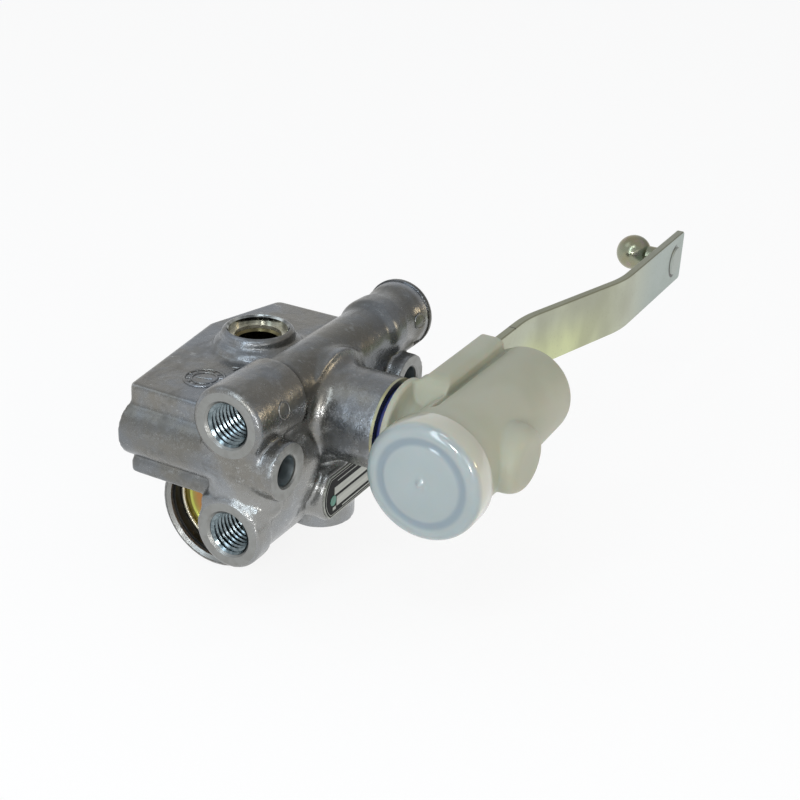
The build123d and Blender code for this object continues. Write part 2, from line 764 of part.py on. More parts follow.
# Lever head: disc, hub, barrel, lever holder and end boss in one moulding
with BuildPart() as head:
    # Barrel and end boss
    with BuildSketch(y_axis_plane(barrel_front_y, barrel_x, shaft_z)):
        Circle(barrel_r)
    extrude(amount=barrel_length)
    fillet(head.faces().sort_by(Axis.Y)[-1].edges(), radius=barrel_round)
    with BuildSketch(x_axis_plane(barrel_x, 0, shaft_z)):
        Circle(end_boss_r)
    extrude(amount=end_boss_x - barrel_x)
    fillet(head.faces().sort_by(Axis.X)[-1].edges(), radius=barrel_round)

    # Disc and hub, turned about the shaft
    with BuildSketch(Plane.XY.offset(shaft_z)):
        with BuildLine():
            Polyline(
                (barrel_x, 0),
                (head_x, 0),
                (head_x, disc_r),
                (head_x + disc_rim, disc_r),
            )
            ThreePointArc(
                (head_x + disc_rim, disc_r),
                (head_x + disc_rim + hub_reach / 4, hub_r + (disc_r - hub_r) / 4),
                (head_x + hub_reach, hub_r),
            )
            Polyline(
                (head_x + hub_reach, hub_r),
                (barrel_x, hub_r),
                (barrel_x, 0),
            )
        make_face()
    revolve(axis=Axis((0, 0, shaft_z), (1, 0, 0)))

    # Holder block for the lever, alongside the barrel
    add(holder.part)

    # Spring bore, open at the front, and the wider mouth for the cap
    with BuildSketch(y_axis_plane(barrel_front_y, barrel_x, shaft_z)):
        Circle(spring_bore_r)
    extrude(amount=spring_bore_back_y - barrel_front_y, mode=Mode.SUBTRACT)
    with BuildSketch(y_axis_plane(barrel_front_y, barrel_x, shaft_z)):
        Circle(mouth_r)
    extrude(amount=mouth_depth, mode=Mode.SUBTRACT)

    # Shaft bore, wide over the journal and narrow over the neck
    with BuildSketch(x_axis_plane(head_x, 0, shaft_z)):
        Circle(shaft_neck_r + running_gap)
    extrude(amount=shaft_socket_x - head_x, mode=Mode.SUBTRACT)
    with BuildSketch(x_axis_plane(head_x, 0, shaft_z)):
        Circle(shaft_r + running_gap)
    extrude(amount=head_gap + free_gap, mode=Mode.SUBTRACT)

    # Pocket that grips the lever's end
    with BuildSketch(y_axis_plane(barrel_back_y, lever_mid_x, lever_mid_z)):
        Rectangle(lever_height + 2 * static_gap, lever_thickness + 2 * static_gap)
    extrude(amount=-lever_insert - static_gap, mode=Mode.SUBTRACT)
save(head.part, "lever_head")

# Snap-on cap: face, skirt over the barrel and spigot in its mouth
cap_face_y = barrel_front_y - cap_face - static_gap
with BuildPart() as cap:
    with BuildSketch(y_axis_plane(cap_face_y, barrel_x, shaft_z)):
        Circle(cap_r)
    extrude(amount=cap_length)
    fillet(cap.edges().sort_by(Axis.Y)[0], radius=cap_skirt)
    with BuildSketch(y_axis_plane(cap_face_y + cap_face, barrel_x, shaft_z)):
        Circle(cap_r - cap_skirt)
    extrude(amount=cap_length, mode=Mode.SUBTRACT)
    with BuildSketch(y_axis_plane(cap_face_y + cap_face, barrel_x, shaft_z)):
        Circle(mouth_r - static_gap)
        Circle(spring_bore_r, mode=Mode.SUBTRACT)
    extrude(amount=cap_spigot_length)
    with BuildSketch(y_axis_plane(cap_face_y, barrel_x, shaft_z)):
        Circle(cap_groove_r)
        Circle(cap_groove_r - cap_groove_width, mode=Mode.SUBTRACT)
    extrude(amount=cap_groove_depth, mode=Mode.SUBTRACT)
    with BuildSketch(y_axis_plane(cap_face_y, barrel_x, shaft_z)):
        Circle(gate_r)
    extrude(amount=-gate_height, taper=30)
save(cap.part, "head_cap")

# Override piston: slotted across for the shaft, notched on top for the pin
piston_slot_half = shaft_neck_r + piston_travel + free_gap
with BuildPart() as piston:
    with BuildSketch(y_axis_plane(-piston_half_length, barrel_x, shaft_z)):
        Circle(piston_r)
    extrude(amount=2 * piston_half_length)
    with BuildSketch(x_axis_plane(barrel_x, 0, shaft_z)):
        Rectangle(2 * piston_slot_half, 2 * (shaft_neck_r + seat_gap))
    extrude(amount=piston_r, both=True, mode=Mode.SUBTRACT)
    with BuildSketch(Plane.XY.offset(shaft_z)):
        with Locations((barrel_x, 0)):
            Rectangle(4 * pin_r, 2 * (pin_r + notch_play))
    extrude(amount=piston_r, mode=Mode.SUBTRACT)
save(piston.part, "override_piston")

# Springs in front of and behind the piston
front_spring_y = cap_face_y + cap_face
front_spring_length = -piston_half_length - front_spring_y
front_spring = coil_spring(
    y_axis_plane(front_spring_y, barrel_x, shaft_z),
    front_spring_length,
    override_coil_r,
    override_wire_r,
    override_turns,
)
save(front_spring, "override_spring_front")
rear_spring = coil_spring(
    y_axis_plane(piston_half_length, barrel_x, shaft_z),
    spring_bore_back_y - piston_half_length,
    override_coil_r,
    override_wire_r,
    override_turns,
)
save(rear_spring, "override_spring_rear")

# Lever: flat steel bar on edge, stepped outwards between two bends
with BuildPart() as lever:
    with BuildLine(Plane.XY.offset(lever_mid_z)) as lever_line:
        FilletPolyline(
            (lever_mid_x, barrel_back_y - lever_insert),
            (lever_mid_x, lever_bend_y),
            (lever_mid_x + lever_step, lever_second_bend_y),
            (lever_mid_x + lever_step, lever_end_y),
            radius=lever_bend_r,
        )
    with BuildSketch(y_axis_plane(barrel_back_y - lever_insert, lever_mid_x, lever_mid_z)):
        Rectangle(lever_height, lever_thickness)
    sweep(path=lever_line.line)
    end_edges = lever.faces().sort_by(Axis.Y)[-1].edges().filter_by(Axis.X)
    fillet(end_edges, radius=lever_corner)
    with BuildSketch(x_axis_plane(lever_outer_x - lever_thickness)):
        with Locations((ball_y, lever_mid_z)):
            Circle(stud_neck_r)
    extrude(amount=3 * lever_thickness, mode=Mode.SUBTRACT)
save(lever.part, "lever")

# Ball stud: ball, neck and collar, turned about its own axis and riveted through the lever
ball_centre_x = lever_outer_x - ball_offset
neck_meets_ball = math.sqrt(ball_r**2 - stud_neck_r**2)
collar_x = lever_outer_x - stud_collar_height
with BuildPart() as stud:
    with BuildSketch(Plane.XY.offset(lever_mid_z)):
        with BuildLine():
            ThreePointArc(
                (ball_centre_x - ball_r, ball_y),
                (ball_centre_x, ball_y + ball_r),
                (ball_centre_x + neck_meets_ball, ball_y + stud_neck_r),
            )
            Polyline(
                (ball_centre_x + neck_meets_ball, ball_y + stud_neck_r),
                (collar_x, ball_y + stud_neck_r),
                (collar_x, ball_y + stud_collar_r),
                (lever_outer_x, ball_y + stud_collar_r),
                (lever_outer_x, ball_y + stud_neck_r - static_gap),
                (rivet_face_x, ball_y + stud_neck_r - static_gap),
                (rivet_face_x, ball_y + stud_rivet_r),
                (rivet_face_x + stud_rivet_height, ball_y + stud_rivet_r - stud_rivet_height),
                (rivet_face_x + stud_rivet_height, ball_y),
                (ball_centre_x - ball_r, ball_y),
            )
        make_face()
    revolve(axis=Axis((0, ball_y, lever_mid_z), (1, 0, 0)))
save(stud.part, "ball_stud")

# Data plate: thin sheet with round ends, trimmed along both long sides
with BuildPart() as data_plate:
    with BuildSketch(x_axis_plane(0, 0, (plate_low_z + plate_high_z) / 2)):
        SlotOverall(plate_length, 2 * plate_end_r)
        Rectangle(plate_length, plate_high_z - plate_low_z, mode=Mode.INTERSECT)
    extrude(amount=plate_sheet)
save(data_plate.part, "data_plate")
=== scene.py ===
import math

import bmesh
import bpy
from mathutils import Matrix, Vector


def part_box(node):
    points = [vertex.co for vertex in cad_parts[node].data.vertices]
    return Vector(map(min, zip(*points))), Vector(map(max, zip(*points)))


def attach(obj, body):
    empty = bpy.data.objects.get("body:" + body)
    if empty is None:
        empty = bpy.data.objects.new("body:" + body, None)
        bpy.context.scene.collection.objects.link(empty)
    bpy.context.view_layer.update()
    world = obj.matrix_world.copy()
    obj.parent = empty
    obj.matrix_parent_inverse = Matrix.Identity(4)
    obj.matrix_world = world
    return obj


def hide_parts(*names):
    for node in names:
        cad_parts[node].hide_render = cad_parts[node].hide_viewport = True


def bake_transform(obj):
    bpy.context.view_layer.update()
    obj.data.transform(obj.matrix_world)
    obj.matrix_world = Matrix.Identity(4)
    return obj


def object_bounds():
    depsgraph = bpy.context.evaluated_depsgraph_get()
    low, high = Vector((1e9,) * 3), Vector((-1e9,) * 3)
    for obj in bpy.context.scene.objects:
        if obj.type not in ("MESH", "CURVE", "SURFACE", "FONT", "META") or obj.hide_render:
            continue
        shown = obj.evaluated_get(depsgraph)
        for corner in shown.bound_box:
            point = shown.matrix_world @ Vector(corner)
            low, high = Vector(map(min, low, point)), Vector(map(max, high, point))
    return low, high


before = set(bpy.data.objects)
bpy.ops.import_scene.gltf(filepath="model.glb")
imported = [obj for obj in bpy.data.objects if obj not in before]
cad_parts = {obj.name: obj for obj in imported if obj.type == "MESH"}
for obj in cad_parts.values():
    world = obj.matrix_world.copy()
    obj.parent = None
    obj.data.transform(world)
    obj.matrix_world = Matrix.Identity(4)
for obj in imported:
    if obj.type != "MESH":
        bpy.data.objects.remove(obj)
cad_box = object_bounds()

# Studio: a pale floor and an even sky. A tall window in front draws the bluish line down the casting, two
# more light it from the left and from above, a soft box and a warm glint stand on the right, and two flashes
# make the glints on the cap. The camera has the photo's viewing angle: in front, to the right and above.
MM = 0.001
VIEW_FROM = Vector((165.51, -288.2, 168.95)) * MM
VIEW_RIGHT = Vector((0.875, 0.4824, 0.0406)).normalized()
VIEW_UP = Vector((-0.243, 0.3653, 0.8986)).normalized()
LENS_MM = 61.6
SENSOR_MM = 36.0
CLIP_NEAR = 0.01
CLIP_FAR = 50.0
FLOOR_HALF = 4.0
FLOOR_DROP = 0.0002
PAPER_WHITE = (0.93, 0.93, 0.93, 1.0)
SKY_STRENGTH = 0.80
FLOOR_WHITE_SHARE = 0.86
FLOOR_WHITE_RAYS = ("Is Camera Ray", "Is Glossy Ray", "Is Transmission Ray")


def placed(name, data):
    """A new object of the scene that shows the given data."""
    made = bpy.data.objects.new(name, data)
    bpy.context.scene.collection.objects.link(made)
    return made


camera = placed("camera", bpy.data.cameras.new("camera"))
bpy.context.scene.camera = camera
camera.data.lens = LENS_MM
camera.data.sensor_width = SENSOR_MM
camera.data.clip_start = CLIP_NEAR
camera.data.clip_end = CLIP_FAR
view_back = VIEW_RIGHT.cross(VIEW_UP).normalized()
view_up = view_back.cross(VIEW_RIGHT)
view_turn = Matrix((VIEW_RIGHT, view_up, view_back)).transposed().to_4x4()
camera.matrix_world = Matrix.Translation(VIEW_FROM) @ view_turn
bpy.context.scene.view_settings.view_transform = "Standard"


class Socket:
    """One output of a node tree, so that shader maths reads as ordinary expressions."""

    def __init__(self, tree, link):
        self.tree = tree
        self.link = link

    def node(self, kind, inputs=(), output=0, **settings):
        made = self.tree.nodes.new(kind)
        for key, value in settings.items():
            setattr(made, key, value)
        for key, value in dict(inputs).items():
            if isinstance(value, Socket):
                self.tree.links.new(value.link, made.inputs[key])
            else:
                made.inputs[key].default_value = value
        return Socket(self.tree, made.outputs[output])

    def math(self, operation, *values):
        return self.node("ShaderNodeMath", enumerate((self,) + values), operation=operation)

    def __add__(self, other):
        return self.math("ADD", other)

    __radd__ = __add__

    def __mul__(self, other):
        return self.math("MULTIPLY", other)

    def __sub__(self, other):
        return self.math("SUBTRACT", other)

    def __rsub__(self, other):
        return (self * -1.0).math("ADD", other)

    def part(self, axis):
        return self.node("ShaderNodeSeparateXYZ", {0: self}, output="XYZ".index(axis))

    def noise(self, scale, detail=3.0, roughness=0.5, stretch=(1.0, 1.0, 1.0)):
        spread = self.node("ShaderNodeVectorMath", {0: self, 1: stretch}, operation="MULTIPLY")
        return self.node(
            "ShaderNodeTexNoise",
            {"Vector": spread, "Scale": scale, "Detail": detail, "Roughness": roughness},
        )

    def step(self, low, high):
        """0 below low, 1 above high, smooth between them."""
        return self.node(
            "ShaderNodeMapRange",
            {"Value": self, "From Min": low, "From Max": high},
            interpolation_type="SMOOTHSTEP",
        )

    def below(self, low, high):
        """1 below low, 0 above high, smooth between them."""
        return 1.0 - self.step(low, high)

    def band(self, low, full, last, high):
        """1 from full to last, 0 below low and above high, smooth between them."""
        return self.step(low, full) * self.below(last, high)

    def mix(self, dark, light):
        """The colour dark where this mask is 0 and light where it is 1."""
        made = self.tree.nodes.new("ShaderNodeMix")
        made.data_type = "RGBA"
        self.tree.links.new(self.link, made.inputs[0])
        for slot, colour in ((6, dark), (7, light)):
            if isinstance(colour, Socket):
                self.tree.links.new(colour.link, made.inputs[slot])
            else:
                made.inputs[slot].default_value = tuple(colour)[:3] + (1.0,)
        return Socket(self.tree, made.outputs[2])

    def bump(self, strength, distance, under=None):
        inputs = {"Strength": strength, "Distance": distance, "Height": self}
        if under is not None:
            inputs["Normal"] = under
        return self.node("ShaderNodeBump", inputs)


def finish_named(name, **constants):
    """A new material: its surface shader, and the object's own coordinates to draw patterns from."""
    made = bpy.data.materials.new(name)
    made.use_nodes = True
    tree = made.node_tree
    shader = tree.nodes["Principled BSDF"]
    for key, value in constants.items():
        shader.inputs[key.replace("_", " ")].default_value = value
    place = tree.nodes.new("ShaderNodeTexCoord")
    return made, shader, Socket(tree, place.outputs["Object"])


def feed(shader, key, source):
    source.tree.links.new(source.link, shader.inputs[key])


floor_z = cad_box[0][2] - FLOOR_DROP
floor_corners = [(x * FLOOR_HALF, y * FLOOR_HALF, floor_z) for x, y in ((-1, -1), (1, -1), (1, 1), (-1, 1))]
floor_mesh = bpy.data.meshes.new("floor")
floor_mesh.from_pydata(floor_corners, [], [(0, 1, 2, 3)])
floor = placed("floor", floor_mesh)
floor_paper, floor_shader, floor_place = finish_named(
    "floor_paper", Base_Color=PAPER_WHITE, Roughness=0.9, Specular_IOR_Level=0.1
)
floor_tree = floor_paper.node_tree
floor_rays = floor_tree.nodes.new("ShaderNodeLightPath")
floor_seen = sum(Socket(floor_tree, floor_rays.outputs[ray]) for ray in FLOOR_WHITE_RAYS) * FLOOR_WHITE_SHARE
floor_glow = floor_place.node("ShaderNodeEmission", {"Color": (1.0, 1.0, 1.0, 1.0), "Strength": 1.0})
floor_mix = floor_tree.nodes.new("ShaderNodeMixShader")
for slot, source in enumerate((floor_seen.link, floor_shader.outputs[0], floor_glow.link)):
    floor_tree.links.new(source, floor_mix.inputs[slot])
floor_tree.links.new(floor_mix.outputs[0], floor_tree.nodes["Material Output"].inputs[0])
floor.data.materials.append(floor_paper)

sky = bpy.data.worlds.new("sky")
bpy.context.scene.world = sky
sky.use_nodes = True
sky_light = sky.node_tree.nodes["Background"]
sky_light.inputs["Strength"].default_value = SKY_STRENGTH
sky_place = Socket(sky.node_tree, sky.node_tree.nodes.new("ShaderNodeTexCoord").outputs["Generated"])
sky_tone = sky_place.part("Z").step(0.20, 0.75).mix((1.0, 1.0, 1.0), (0.74, 0.76, 0.79))
sky_far = sky_place.part("X") * 0.45 + sky_place.part("Y") * 0.75 + sky_place.part("Z") * 0.2
sky_tone = sky_far.step(0.52, 0.92).mix(sky_tone, (0.52, 0.51, 0.50))
sky.node_tree.links.new(sky_tone.link, sky_light.inputs["Color"])

for lamp_name, lamp_place, lamp_wide, lamp_high, lamp_watts, lamp_colour in (
    ("window_left", (-0.62, -0.23, 0.78), 0.5, 0.5, 0.55, (0.80, 0.91, 1.0)),
    ("window_high", (0.12, -0.46, 0.86), 0.2, 0.2, 0.7, (0.84, 0.93, 1.0)),
    ("window_tall", (-0.17, -0.87, 0.45), 0.14, 1.2, 2.9, (0.78, 0.90, 1.0)),
    ("soft_box_right", (0.75, -0.62, 0.30), 0.5, 0.5, 1.1, (0.99, 0.97, 0.92)),
    ("warm_glint", (0.78, 0.54, 0.24), 0.12, 0.12, 0.7, (1.0, 0.80, 0.52)),
    ("flash_near", (0.100, -0.421, 0.139), 0.065, 0.065, 0.34, (0.98, 0.99, 1.0)),
    ("flash_far", (0.307, -0.349, 0.067), 0.05, 0.05, 0.24, (0.98, 0.99, 1.0)),
):
    lamp = placed(lamp_name, bpy.data.lights.new(lamp_name, "AREA"))
    lamp.location = lamp_place
    lamp.rotation_euler = Vector(lamp_place).to_track_quat("Z", "Y").to_euler()
    lamp.data.shape = "RECTANGLE"
    lamp.data.size = lamp_wide
    lamp.data.size_y = lamp_high
    lamp.data.energy = lamp_watts
    lamp.data.color = lamp_colour

# Housing: an aluminium die casting with soft rounds, blasted skin and mottled tone. The port faces, the
# boss faces and the bores are machined into it afterwards. The skin is the CAD solid with its machining
# filled in and its corners worn round, and the machining is then cut again.
CAST_GRID = 0.5 * MM
CAST_ROUNDS = 9
TUBE_AXIS = (-13.5, 12.5)
LOWER_AXIS = (-13.5, -19.0)
PORT_FRONT_Y = -40.5
PORT_BACK_Y = 52.0
PORT_R = 6.0
PORT_DEPTH = 13.0
PASSAGE_R = 3.0
BOLT_Y = 32.5
BOLT_R = 4.2
SUPPLY_AT = (-34.5, 5.0, 18.6)
SUPPLY_BOSS_R = 10.4
SUPPLY_RING_R = 8.3
SUPPLY_BORE_R = 7.3
SUPPLY_PASSAGE_R = 4.0
CHAMBER_AT = (-31.5, -22.5, -27.0)
CHAMBER_BOSS_R = 17.1
CHAMBER_MOUTH_R = 14.9
CHAMBER_R = 14.2
SHAFT_Z = 3.0
SHAFT_BOSS_X = 12.2
CONTROL_AT = (-10.4, 0.0, -30.8)
CONTROL_PLUG_R = 8.02
CONTROL_R = 6.0


def shaped(name, made):
    """A new object from a finished bmesh, which is freed."""
    mesh = bpy.data.meshes.new(name)
    made.to_mesh(mesh)
    made.free()
    return placed(name, mesh)


def skinned(name, rows, wrap=False):
    """One closed piece through rows of points in mm: each row is a loop, joined to the next row."""
    made = bmesh.new()
    loops = [[made.verts.new(Vector(spot) * MM) for spot in row] for row in rows]
    pairs = list(zip(loops, loops[1:]))
    if wrap:
        pairs.append((loops[-1], loops[0]))
    else:
        made.faces.new(list(reversed(loops[0])))
        made.faces.new(loops[-1])
    for near, far in pairs:
        for i in range(len(near)):
            j = (i + 1) % len(near)
            made.faces.new((near[i], near[j], far[j], far[i]))
    bmesh.ops.recalc_face_normals(made, faces=made.faces)
    return shaped(name, made)


def turned(name, profile, start, along, ring=False, around=96):
    """A body of revolution, its profile given as (distance along, radius) in mm from start."""
    axis = Vector(along).normalized()
    side = axis.orthogonal().normalized()
    other = axis.cross(side)
    rows = []
    for distance, radius in profile:
        turns = [2 * math.pi * i / around for i in range(around)]
        centre = Vector(start) + axis * distance
        rows.append([centre + (side * math.cos(turn) + other * math.sin(turn)) * radius for turn in turns])
    return skinned(name, rows, wrap=ring)


def part_ring(name, axis, profile, low_deg, high_deg, around=72):
    """Part of a ring about a tube's axis (x, z): profile is (y, radius), angles run from +X towards +Z."""
    rows = []
    for i in range(around + 1):
        turn = math.radians(low_deg + (high_deg - low_deg) * i / around)
        rows.append([(axis[0] + r * math.cos(turn), y, axis[1] + r * math.sin(turn)) for y, r in profile])
    return skinned(name, rows)


def prism(name, outline, axis, low, high):
    """A straight bar along X, Y or Z between two values, from an outline in the other two coordinates."""
    place = "XYZ".index(axis)
    rows = [[(*spot[:place], value, *spot[place:]) for spot in outline] for value in (low, high)]
    return skinned(name, rows)


def joined(name, pieces, weld=False):
    """One object from several, each left in place and in its own finish."""
    whole = bmesh.new()
    finishes = []
    for piece in pieces:
        before = len(whole.faces)
        whole.from_mesh(piece.data)
        whole.faces.ensure_lookup_table()
        for face in whole.faces[before:]:
            face.material_index += len(finishes)
        finishes += list(piece.data.materials)
        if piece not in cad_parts.values():
            bpy.data.objects.remove(piece)
    if weld:
        bmesh.ops.remove_doubles(whole, verts=whole.verts, dist=0.001 * MM)
    made = shaped(name, whole)
    for finish in finishes:
        made.data.materials.append(finish)
    return made


def settled(piece):
    """The piece with its modifiers applied."""
    graph = bpy.context.evaluated_depsgraph_get()
    mesh = bpy.data.meshes.new_from_object(piece.evaluated_get(graph))
    piece.modifiers.clear()
    piece.data = mesh
    return piece


def worn_round(piece, grid, rounds):
    remesh = piece.modifiers.new("grid", "REMESH")
    remesh.mode = "VOXEL"
    remesh.voxel_size = grid
    soften = piece.modifiers.new("rounds", "SMOOTH")
    soften.factor = 0.5
    soften.iterations = rounds
    return settled(piece)


def machined_out(piece, cutters):
    """Cuts each cutter out of the piece, and leaves the cut faces in that cutter's own finish."""
    tool = joined(piece.name + "_cuts", cutters)
    cut = piece.modifiers.new("cuts", "BOOLEAN")
    cut.operation = "DIFFERENCE"
    cut.solver = "EXACT"
    cut.use_self = True
    cut.material_mode = "TRANSFER"
    cut.object = tool
    settled(piece)
    bpy.data.objects.remove(tool)
    return piece


def in_finish(pieces, metal):
    for piece in pieces:
        piece.data.materials.clear()
        piece.data.materials.append(metal)
    return pieces


def smooth_above(piece, degrees):
    piece.data.polygons.foreach_set("use_smooth", [True] * len(piece.data.polygons))
    piece.data.set_sharp_from_angle(angle=math.radians(degrees))
    return piece


def off_axis(place, across="XZ"):
    """Distance from the axis that the two letters leave out."""
    first, second = (place.part(axis) for axis in across)
    return (first * first + second * second).math("SQRT")


def measured_from(place, x, y, z):
    """The same coordinates with their origin at a point in mm."""
    return place.node("ShaderNodeVectorMath", {0: place, 1: (x * MM, y * MM, z * MM)}, operation="SUBTRACT")


cast_skin, cast_shader, cast_place = finish_named("cast_skin", Metallic=0.93)
cast_cloud = cast_place.noise(55.0, detail=4.0, roughness=0.6).step(0.38, 0.62)
cast_speck = cast_place.noise(620.0, detail=4.0, roughness=0.7).step(0.50, 0.70)
cast_flow = cast_place.noise(130.0, detail=6.0, roughness=0.75, stretch=(1.0, 0.35, 1.0)).step(0.48, 0.66)
cast_fleck = cast_place.noise(420.0, detail=5.0, roughness=0.8, stretch=(0.6, 1.0, 0.5)).step(0.60, 0.68)
cast_tone = cast_cloud.mix((0.222, 0.214, 0.194), (0.222, 0.237, 0.256))
cast_tone = (cast_speck * 0.35).mix(cast_tone, (0.34, 0.345, 0.35))
cast_tone = (cast_flow * 0.5).mix(cast_tone, (0.12, 0.118, 0.108))
cast_tone = (cast_fleck * 0.55).mix(cast_tone, (0.50, 0.52, 0.53))
# Painted light and shade in the tone: the tube behind its front boss and the left half below its top are
# darkened as painted shade, the lower right wall is lightened as painted light, a painted shadow follows the
# front boss's shoulder, and the far lip has a painted highlight with a painted dark rim.
cast_off = off_axis(measured_from(cast_place, TUBE_AXIS[0], 0.0, TUBE_AXIS[1]))
cast_y = cast_place.part("Y")
cast_z = cast_place.part("Z")
cast_right = cast_place.part("X").step(-0.024, -0.018)
painted_tube_shade = cast_off.below(0.0095, 0.0105) * cast_y.step(-0.018, -0.014)
cast_tone = (painted_tube_shade * 0.38).mix(cast_tone, (0.10, 0.10, 0.09))
cast_tone = (cast_right * cast_z.below(-0.008, 0.0) * 0.4).mix(cast_tone, (0.40, 0.41, 0.41))
cast_tone = ((1.0 - cast_right) * cast_z.below(0.006, 0.010) * 0.3).mix(cast_tone, (0.12, 0.12, 0.11))
# A painted shadow along the tube just behind the front boss's shoulder.
painted_shoulder_shadow = cast_y.band(-0.0190, -0.0186, -0.0172, -0.0150) * cast_off.below(0.0101, 0.0104)
painted_shoulder_shadow = painted_shoulder_shadow * cast_z.step(0.003, 0.006)
cast_tone = (painted_shoulder_shadow * 0.75).mix(cast_tone, (0.03, 0.03, 0.028))
# At the far tube's lip: a painted highlight, then a painted dark rim beyond it.
painted_lip_light_and_shade = (cast_y.band(0.0460, 0.0480, 0.0486, 0.0488) * 0.45).mix(cast_tone, (0.52, 0.54, 0.57))
painted_lip_light_and_shade = (cast_y.step(0.0489, 0.0492) * 0.75).mix(painted_lip_light_and_shade, (0.055, 0.055, 0.048))
cast_tone = (cast_off.step(0.0085, 0.0090) * cast_y.step(0.040, 0.045)).mix(cast_tone, painted_lip_light_and_shade)
feed(cast_shader, "Base Color", cast_tone)
feed(cast_shader, "Roughness", cast_speck * 0.08 + cast_flow * 0.12 - cast_fleck * 0.08 + 0.25)
cast_relief = cast_place.noise(1300.0, detail=3.0, roughness=0.6).bump(0.3, 0.00007)
cast_relief = cast_place.noise(260.0, detail=5.0, roughness=0.7).bump(0.42, 0.00045, under=cast_relief)
cast_relief = cast_place.noise(70.0, detail=2.0).bump(0.55, 0.0009, under=cast_relief)
feed(cast_shader, "Normal", cast_relief)

face_metal, face_shader, face_place = finish_named("faced_aluminium", Metallic=0.92)
face_is_low = face_place.part("Z").below(-0.004, -0.003)
face_from_tube = off_axis(measured_from(face_place, TUBE_AXIS[0], 0.0, TUBE_AXIS[1]))
face_from_lower = off_axis(measured_from(face_place, LOWER_AXIS[0], 0.0, LOWER_AXIS[1]))
face_radius = face_from_tube * (1.0 - face_is_low) + face_from_lower * face_is_low
face_marks = (face_radius * 19000.0).math("SINE") * 0.5 + 0.5
face_wear = face_place.noise(400.0, detail=4.0).step(0.4, 0.65)
face_tone = face_marks.mix((0.255, 0.26, 0.25), (0.31, 0.315, 0.305))
feed(face_shader, "Base Color", (face_wear * 0.4).mix(face_tone, (0.23, 0.225, 0.21)))
feed(face_shader, "Roughness", face_wear * 0.12 + 0.32)
feed(face_shader, "Normal", face_marks.bump(0.10, 0.00002))

bore_metal, bore_shader, bore_place = finish_named("bored_aluminium", Metallic=1.0)
# The bores' colour runs in long light and dark streaks: painted reflections.
bore_painted_reflections = bore_place.noise(240.0, detail=2.0, stretch=(1.0, 1.0, 0.06)).step(0.35, 0.68)
bore_wear = bore_place.noise(900.0, detail=3.0).step(0.4, 0.7)
bore_tone = bore_painted_reflections.mix((0.14, 0.15, 0.15), (0.62, 0.64, 0.62))
feed(bore_shader, "Base Color", (bore_wear * 0.25).mix(bore_tone, (0.30, 0.29, 0.26)))
feed(bore_shader, "Roughness", bore_wear * 0.10 + 0.16)
feed(bore_shader, "Normal", bore_place.noise(1500.0, detail=2.0).bump(0.08, 0.00002))

bolt_metal, bolt_shader, bolt_place = finish_named("bolt_bore", Metallic=0.85)
bolt_cloud = bolt_place.noise(260.0, detail=4.0).step(0.35, 0.7)
# Deeper in the bolt bores the wall is painted near black: painted shade.
bolt_painted_shade = bolt_place.part("X").band(-0.020, -0.011, -0.0056, -0.0040)
bolt_tone = bolt_cloud.mix((0.30, 0.36, 0.385), (0.46, 0.52, 0.54))
feed(bolt_shader, "Base Color", bolt_painted_shade.mix(bolt_tone, (0.03, 0.032, 0.032)))
feed(bolt_shader, "Roughness", bolt_cloud * 0.12 + 0.38)
feed(bolt_shader, "Normal", bolt_place.noise(900.0, detail=3.0).bump(0.12, 0.00004))

dark_metal, dark_shader, dark_place = finish_named("dark_bore", Metallic=0.8)
dark_cloud = dark_place.noise(160.0, detail=4.0).step(0.35, 0.7)
feed(dark_shader, "Base Color", dark_cloud.mix((0.020, 0.021, 0.021), (0.052, 0.051, 0.048)))
feed(dark_shader, "Roughness", dark_cloud * 0.15 + 0.32)
feed(dark_shader, "Normal", dark_place.noise(700.0, detail=3.0).bump(0.15, 0.00005))


def edge_round(name, boss_r, radius, start, along):
    """A cutter that rounds the outer edge of a boss's face."""
    profile = []
    for i in range(9):
        turn = math.pi / 2 * i / 8
        profile.append((radius * (1 - math.cos(turn)), boss_r - radius + radius * math.sin(turn)))
    profile += [(radius, boss_r + 0.05), (-1.0, boss_r + 0.05), (-1.0, boss_r - radius)]
    return turned(name, profile, start, along, ring=True)


def pillow(name, centre, sizes):
    """A soft lump of extra casting, an ellipsoid with its half sizes in mm."""
    made = bmesh.new()
    bmesh.ops.create_uvsphere(made, u_segments=48, v_segments=24, radius=1.0)
    bmesh.ops.scale(made, vec=Vector(sizes) * MM, verts=made.verts)
    bmesh.ops.translate(made, vec=Vector(centre) * MM, verts=made.verts)
    return shaped(name, made)


def ledge(name, low, high):
    """A straight raised band on the casting, given by two corners in mm."""
    made = bmesh.new()
    bmesh.ops.create_cube(made, size=1.0)
    bmesh.ops.scale(made, vec=(Vector(high) - Vector(low)) * MM, verts=made.verts)
    bmesh.ops.translate(made, vec=(Vector(high) + Vector(low)) / 2 * MM, verts=made.verts)
    bmesh.ops.bevel(made, geom=made.edges, offset=0.9 * MM, segments=3, affect="EDGES", profile=0.5)
    return shaped(name, made)


